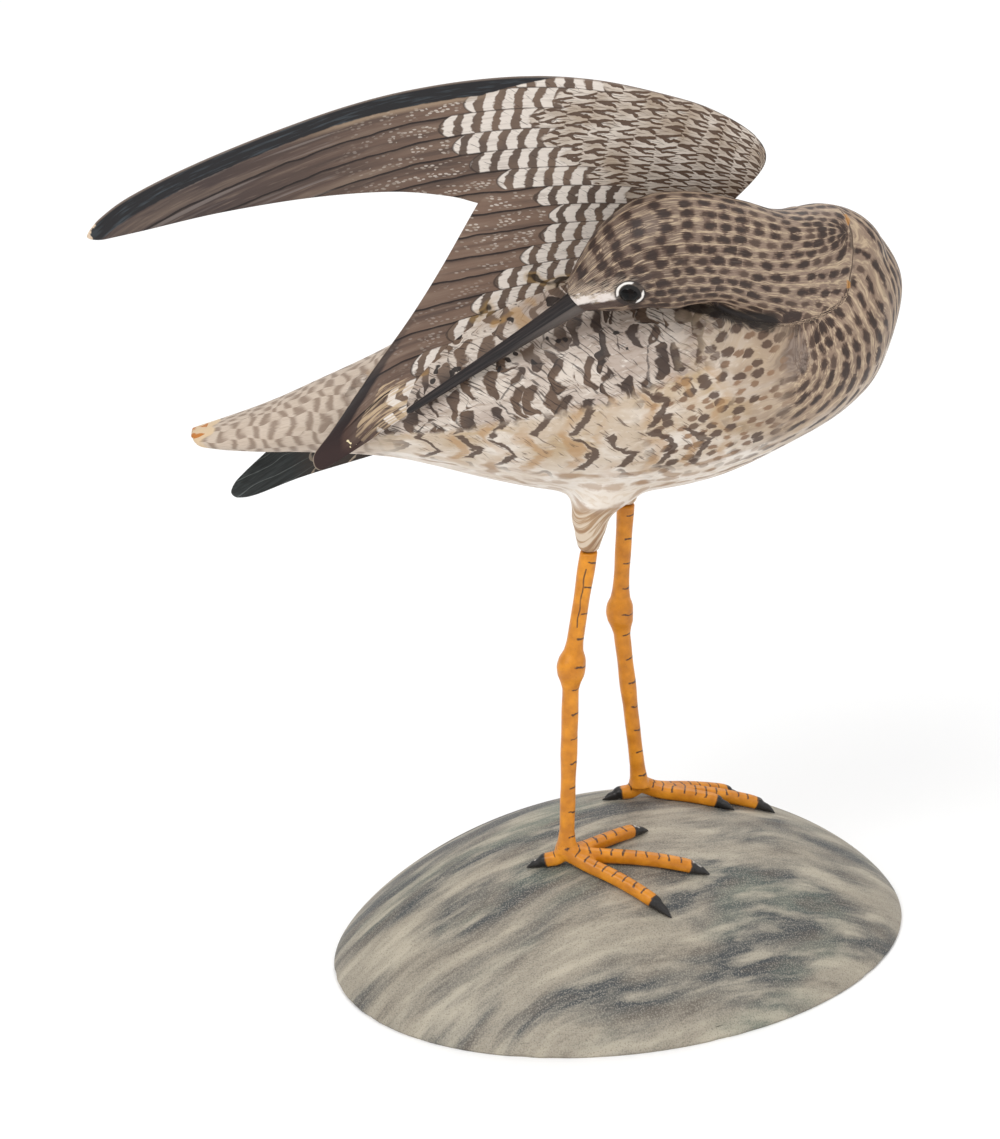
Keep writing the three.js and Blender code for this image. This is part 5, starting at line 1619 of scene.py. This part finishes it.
wing_shine = node(tree, "MULTIPLY_ADD", hairs, 0.2, 0.4)
wing_relief = node(tree, "MULTIPLY_ADD", wobble, 0.3, hairs)
join_finish(tree, wing_colour, wing_shine, wing_relief, 0.1)
wing_mesh = new_mesh("raised_wing", wing_points, wing_faces)
add_piece(
    "raised_wing",
    wing_mesh,
    wing_paint,
    "wing_paint",
    out=wing_out,
    row=wing_row,
    covert=wing_covert,
    lean=wing_lean,
    course=wing_course,
    lead=with_ends(from_front),
    trail=with_ends(from_back),
    side=with_ends(side),
)


# Folded wing: a thin carved leaf wrapped round the left flank, with its green-black tip free
# below the tail. Its outer face is painted dark brown with pale notches.

FOLDED_ROWS = [
    (22.5, 14.4, 34.0, 1.8, 20, 16), (14.6, 16.2, 34.0, 6.3, 21, 17),
    (3.9, 16.9, 30.1, 9.7, 16, 18), (-8.7, 16.4, 26.2, 10.7, 9, 17.5),
    (-21.8, 13.6, 21.0, 9.7, 2, 18), (-34.0, 10.8, 15.0, 7.5, 0, 28),
    (-46.1, 9.0, 8.4, 4.3, -5, 48), (-53.4, 7.5, 4.0, 2.4, -5, 60), (-56.7, 7.1, 2.2, 0.9, -5, 60),
]
FOLDED_HALF_THICKNESS = [0.4, 0.55, 0.6, 0.6, 0.55, 0.5, 0.42, 0.34, 0.2]
FOLDED_LENGTH = 165
FOLDED_TIP_BLUNT = 0.04
FOLDED_LINE_GAP = 4.2
FOLDED_FEATHER = (9.0, 7.0)


def folded_rings(steps=240, sides=120):
    """Flat ovals bent round an axis along the bird: each point turns about that axis by its
    distance across the chord over the radius of the bend."""
    share = np.linspace(0, 1, steps)
    x, y, z, half_chord, look, wrap = curve_through(FOLDED_ROWS, share).T
    half = curve_through(FOLDED_HALF_THICKNESS, share)[:, 0] * WING_THICKNESS
    radius = wrap / 100 * BODY_LENGTH
    turn = np.linspace(0, 2 * np.pi, sides, endpoint=False)
    across = np.cos(turn) * half_chord[:, None] / 100 * BODY_LENGTH
    facing = np.radians(look)[:, None] + across / radius[:, None]
    normal = np.stack([np.zeros(steps), np.cos(np.radians(look)), np.sin(np.radians(look))], 1)
    axis = bird_point(np.stack([x, y, z], 1)) - normal * radius[:, None]
    out = radius[:, None] + np.sin(turn) * half[:, None]
    rings = axis[:, None] + np.stack([0 * out, np.cos(facing) * out, np.sin(facing) * out], -1)
    along = np.broadcast_to(share[:, None] * FOLDED_LENGTH, out.shape)
    tip = (share - (1 - FOLDED_TIP_BLUNT)) / FOLDED_TIP_BLUNT
    blunt = np.sqrt(1 - np.clip(tip, 0, 0.995) ** 2)[:, None, None]
    return rings.mean(1, keepdims=True) * (1 - blunt) + rings * blunt, along, across


rings, leaf_along, leaf_across = folded_rings()
folded_points, folded_faces = closed_skin(rings)

# Oil paint on pine: green-black at the free tip with fine pale feather lines, dark brown with
# pale notches nearer the shoulder
folded_paint, tree = new_finish("dark_feather_oil_paint_on_pine", Specular_IOR_Level=0.3)
along = node(tree, "Attribute", attribute_name="along", out=2)
across = node(tree, "Attribute", attribute_name="across", out=2)
place = node(tree, "TexCoord", out=3)
wobble = node(tree, "TexNoise", {"Vector": place, "Scale": 420.0, "Detail": 2.0})
leaf_hairs = strokes(tree, across, along, 0.8, 14.0)
slow = node(tree, "TexNoise", {"Vector": place, "Scale": 60.0, "Detail": 1.0})
folded = coat(tree, "#1e2120", "#363b3b", leaf_hairs, 0.4, 0.7)
line_place = node(tree, "DIVIDE", across, FOLDED_LINE_GAP)
line_place = node(tree, "MULTIPLY_ADD", slow, 2.4, line_place)
line_gap = node(tree, "MULTIPLY_ADD", wobble, 0.06, off_middle(tree, line_place))
folded = coat(tree, folded, "#6f7573", line_gap, 0.08, 0.045, 0.5)
leaf_course = node(tree, "DIVIDE", along, FOLDED_FEATHER[0])
leaf_row = node(tree, "DIVIDE", across, FOLDED_FEATHER[1])
shoulder = notched_feathers(tree, leaf_course, leaf_row, leaf_hairs, wobble, UPPER_COLOURS, 0.28)
folded = coat(tree, shoulder, folded, along, 118.0, 128.0)
folded_shine = node(tree, "MULTIPLY_ADD", leaf_hairs, 0.2, 0.32)
join_finish(tree, folded, folded_shine, leaf_hairs, 0.08)
add_piece(
    "folded_wing",
    new_mesh("folded_wing", folded_points, folded_faces),
    folded_paint,
    "folded_wing_paint",
    along=with_ends(leaf_along),
    across=with_ends(leaf_across),
)


# Studio: a plain pale floor and soft light from all round, stronger from the upper left. The
# camera looks down at the photograph's angle. Places here are in metres.

CAMERA_PLACE = (-0.0371, -1.1348, 0.6281)
CAMERA_PITCH = 66.0
CAMERA_LENS = 133.08
SENSOR_WIDTH = 36
FLOOR_HALF = 6
LIGHT_TARGET = (-0.03, 0, 0.15)
SKY_STRENGTH = 0.62
floor_finish, tree = new_finish("pale_studio_floor", Roughness=0.9)
floor_grain = node(tree, "TexNoise", {"Vector": node(tree, "TexCoord", out=3), "Scale": 4.0})
floor_colour = coat(tree, "#fbfbfb", "#fdfdfd", floor_grain)
tree.links.new(floor_colour, tree.nodes["Principled BSDF"].inputs["Base Color"])
floor_mesh = bpy.data.meshes.new("floor")
corners = np.array([(-1, -1, 0), (1, -1, 0), (1, 1, 0), (-1, 1, 0)]) * FLOOR_HALF
floor_mesh.from_pydata(corners.tolist(), [], [(0, 1, 2, 3)])
floor_mesh.materials.append(floor_finish)
floor = bpy.data.objects.new("floor", floor_mesh)
bpy.context.scene.collection.objects.link(floor)


def add_lamp(name, place, size, power):
    """A square soft light at a place in metres, facing the bird."""
    lamp = bpy.data.lights.new(name, "AREA")
    lamp.size = size
    lamp.energy = power
    holder = bpy.data.objects.new(name, lamp)
    holder.location = place
    towards = Vector(LIGHT_TARGET) - Vector(place)
    holder.rotation_euler = towards.to_track_quat("-Z", "Y").to_euler()
    bpy.context.scene.collection.objects.link(holder)


add_lamp("key_light", (-0.9, -1.1, 1.7), 1.2, 21)
add_lamp("fill_light", (1.3, -0.9, 1.2), 1.6, 8)
add_lamp("back_light", (0.2, 1.4, 1.6), 1.4, 11)
bpy.context.scene.view_settings.view_transform = "Standard"
sky = bpy.data.worlds.new("studio")
sky.use_nodes = True
sky.node_tree.nodes["Background"].inputs[0].default_value = (1, 1, 1, 1)
sky.node_tree.nodes["Background"].inputs[1].default_value = SKY_STRENGTH
bpy.context.scene.world = sky
camera_data = bpy.data.cameras.new("camera")
camera_data.lens = CAMERA_LENS
camera_data.sensor_width = SENSOR_WIDTH
camera = bpy.data.objects.new("camera", camera_data)
camera.location = CAMERA_PLACE
camera.rotation_euler = (np.radians(CAMERA_PITCH), 0, 0)
bpy.context.scene.collection.objects.link(camera)
bpy.context.scene.camera = camera
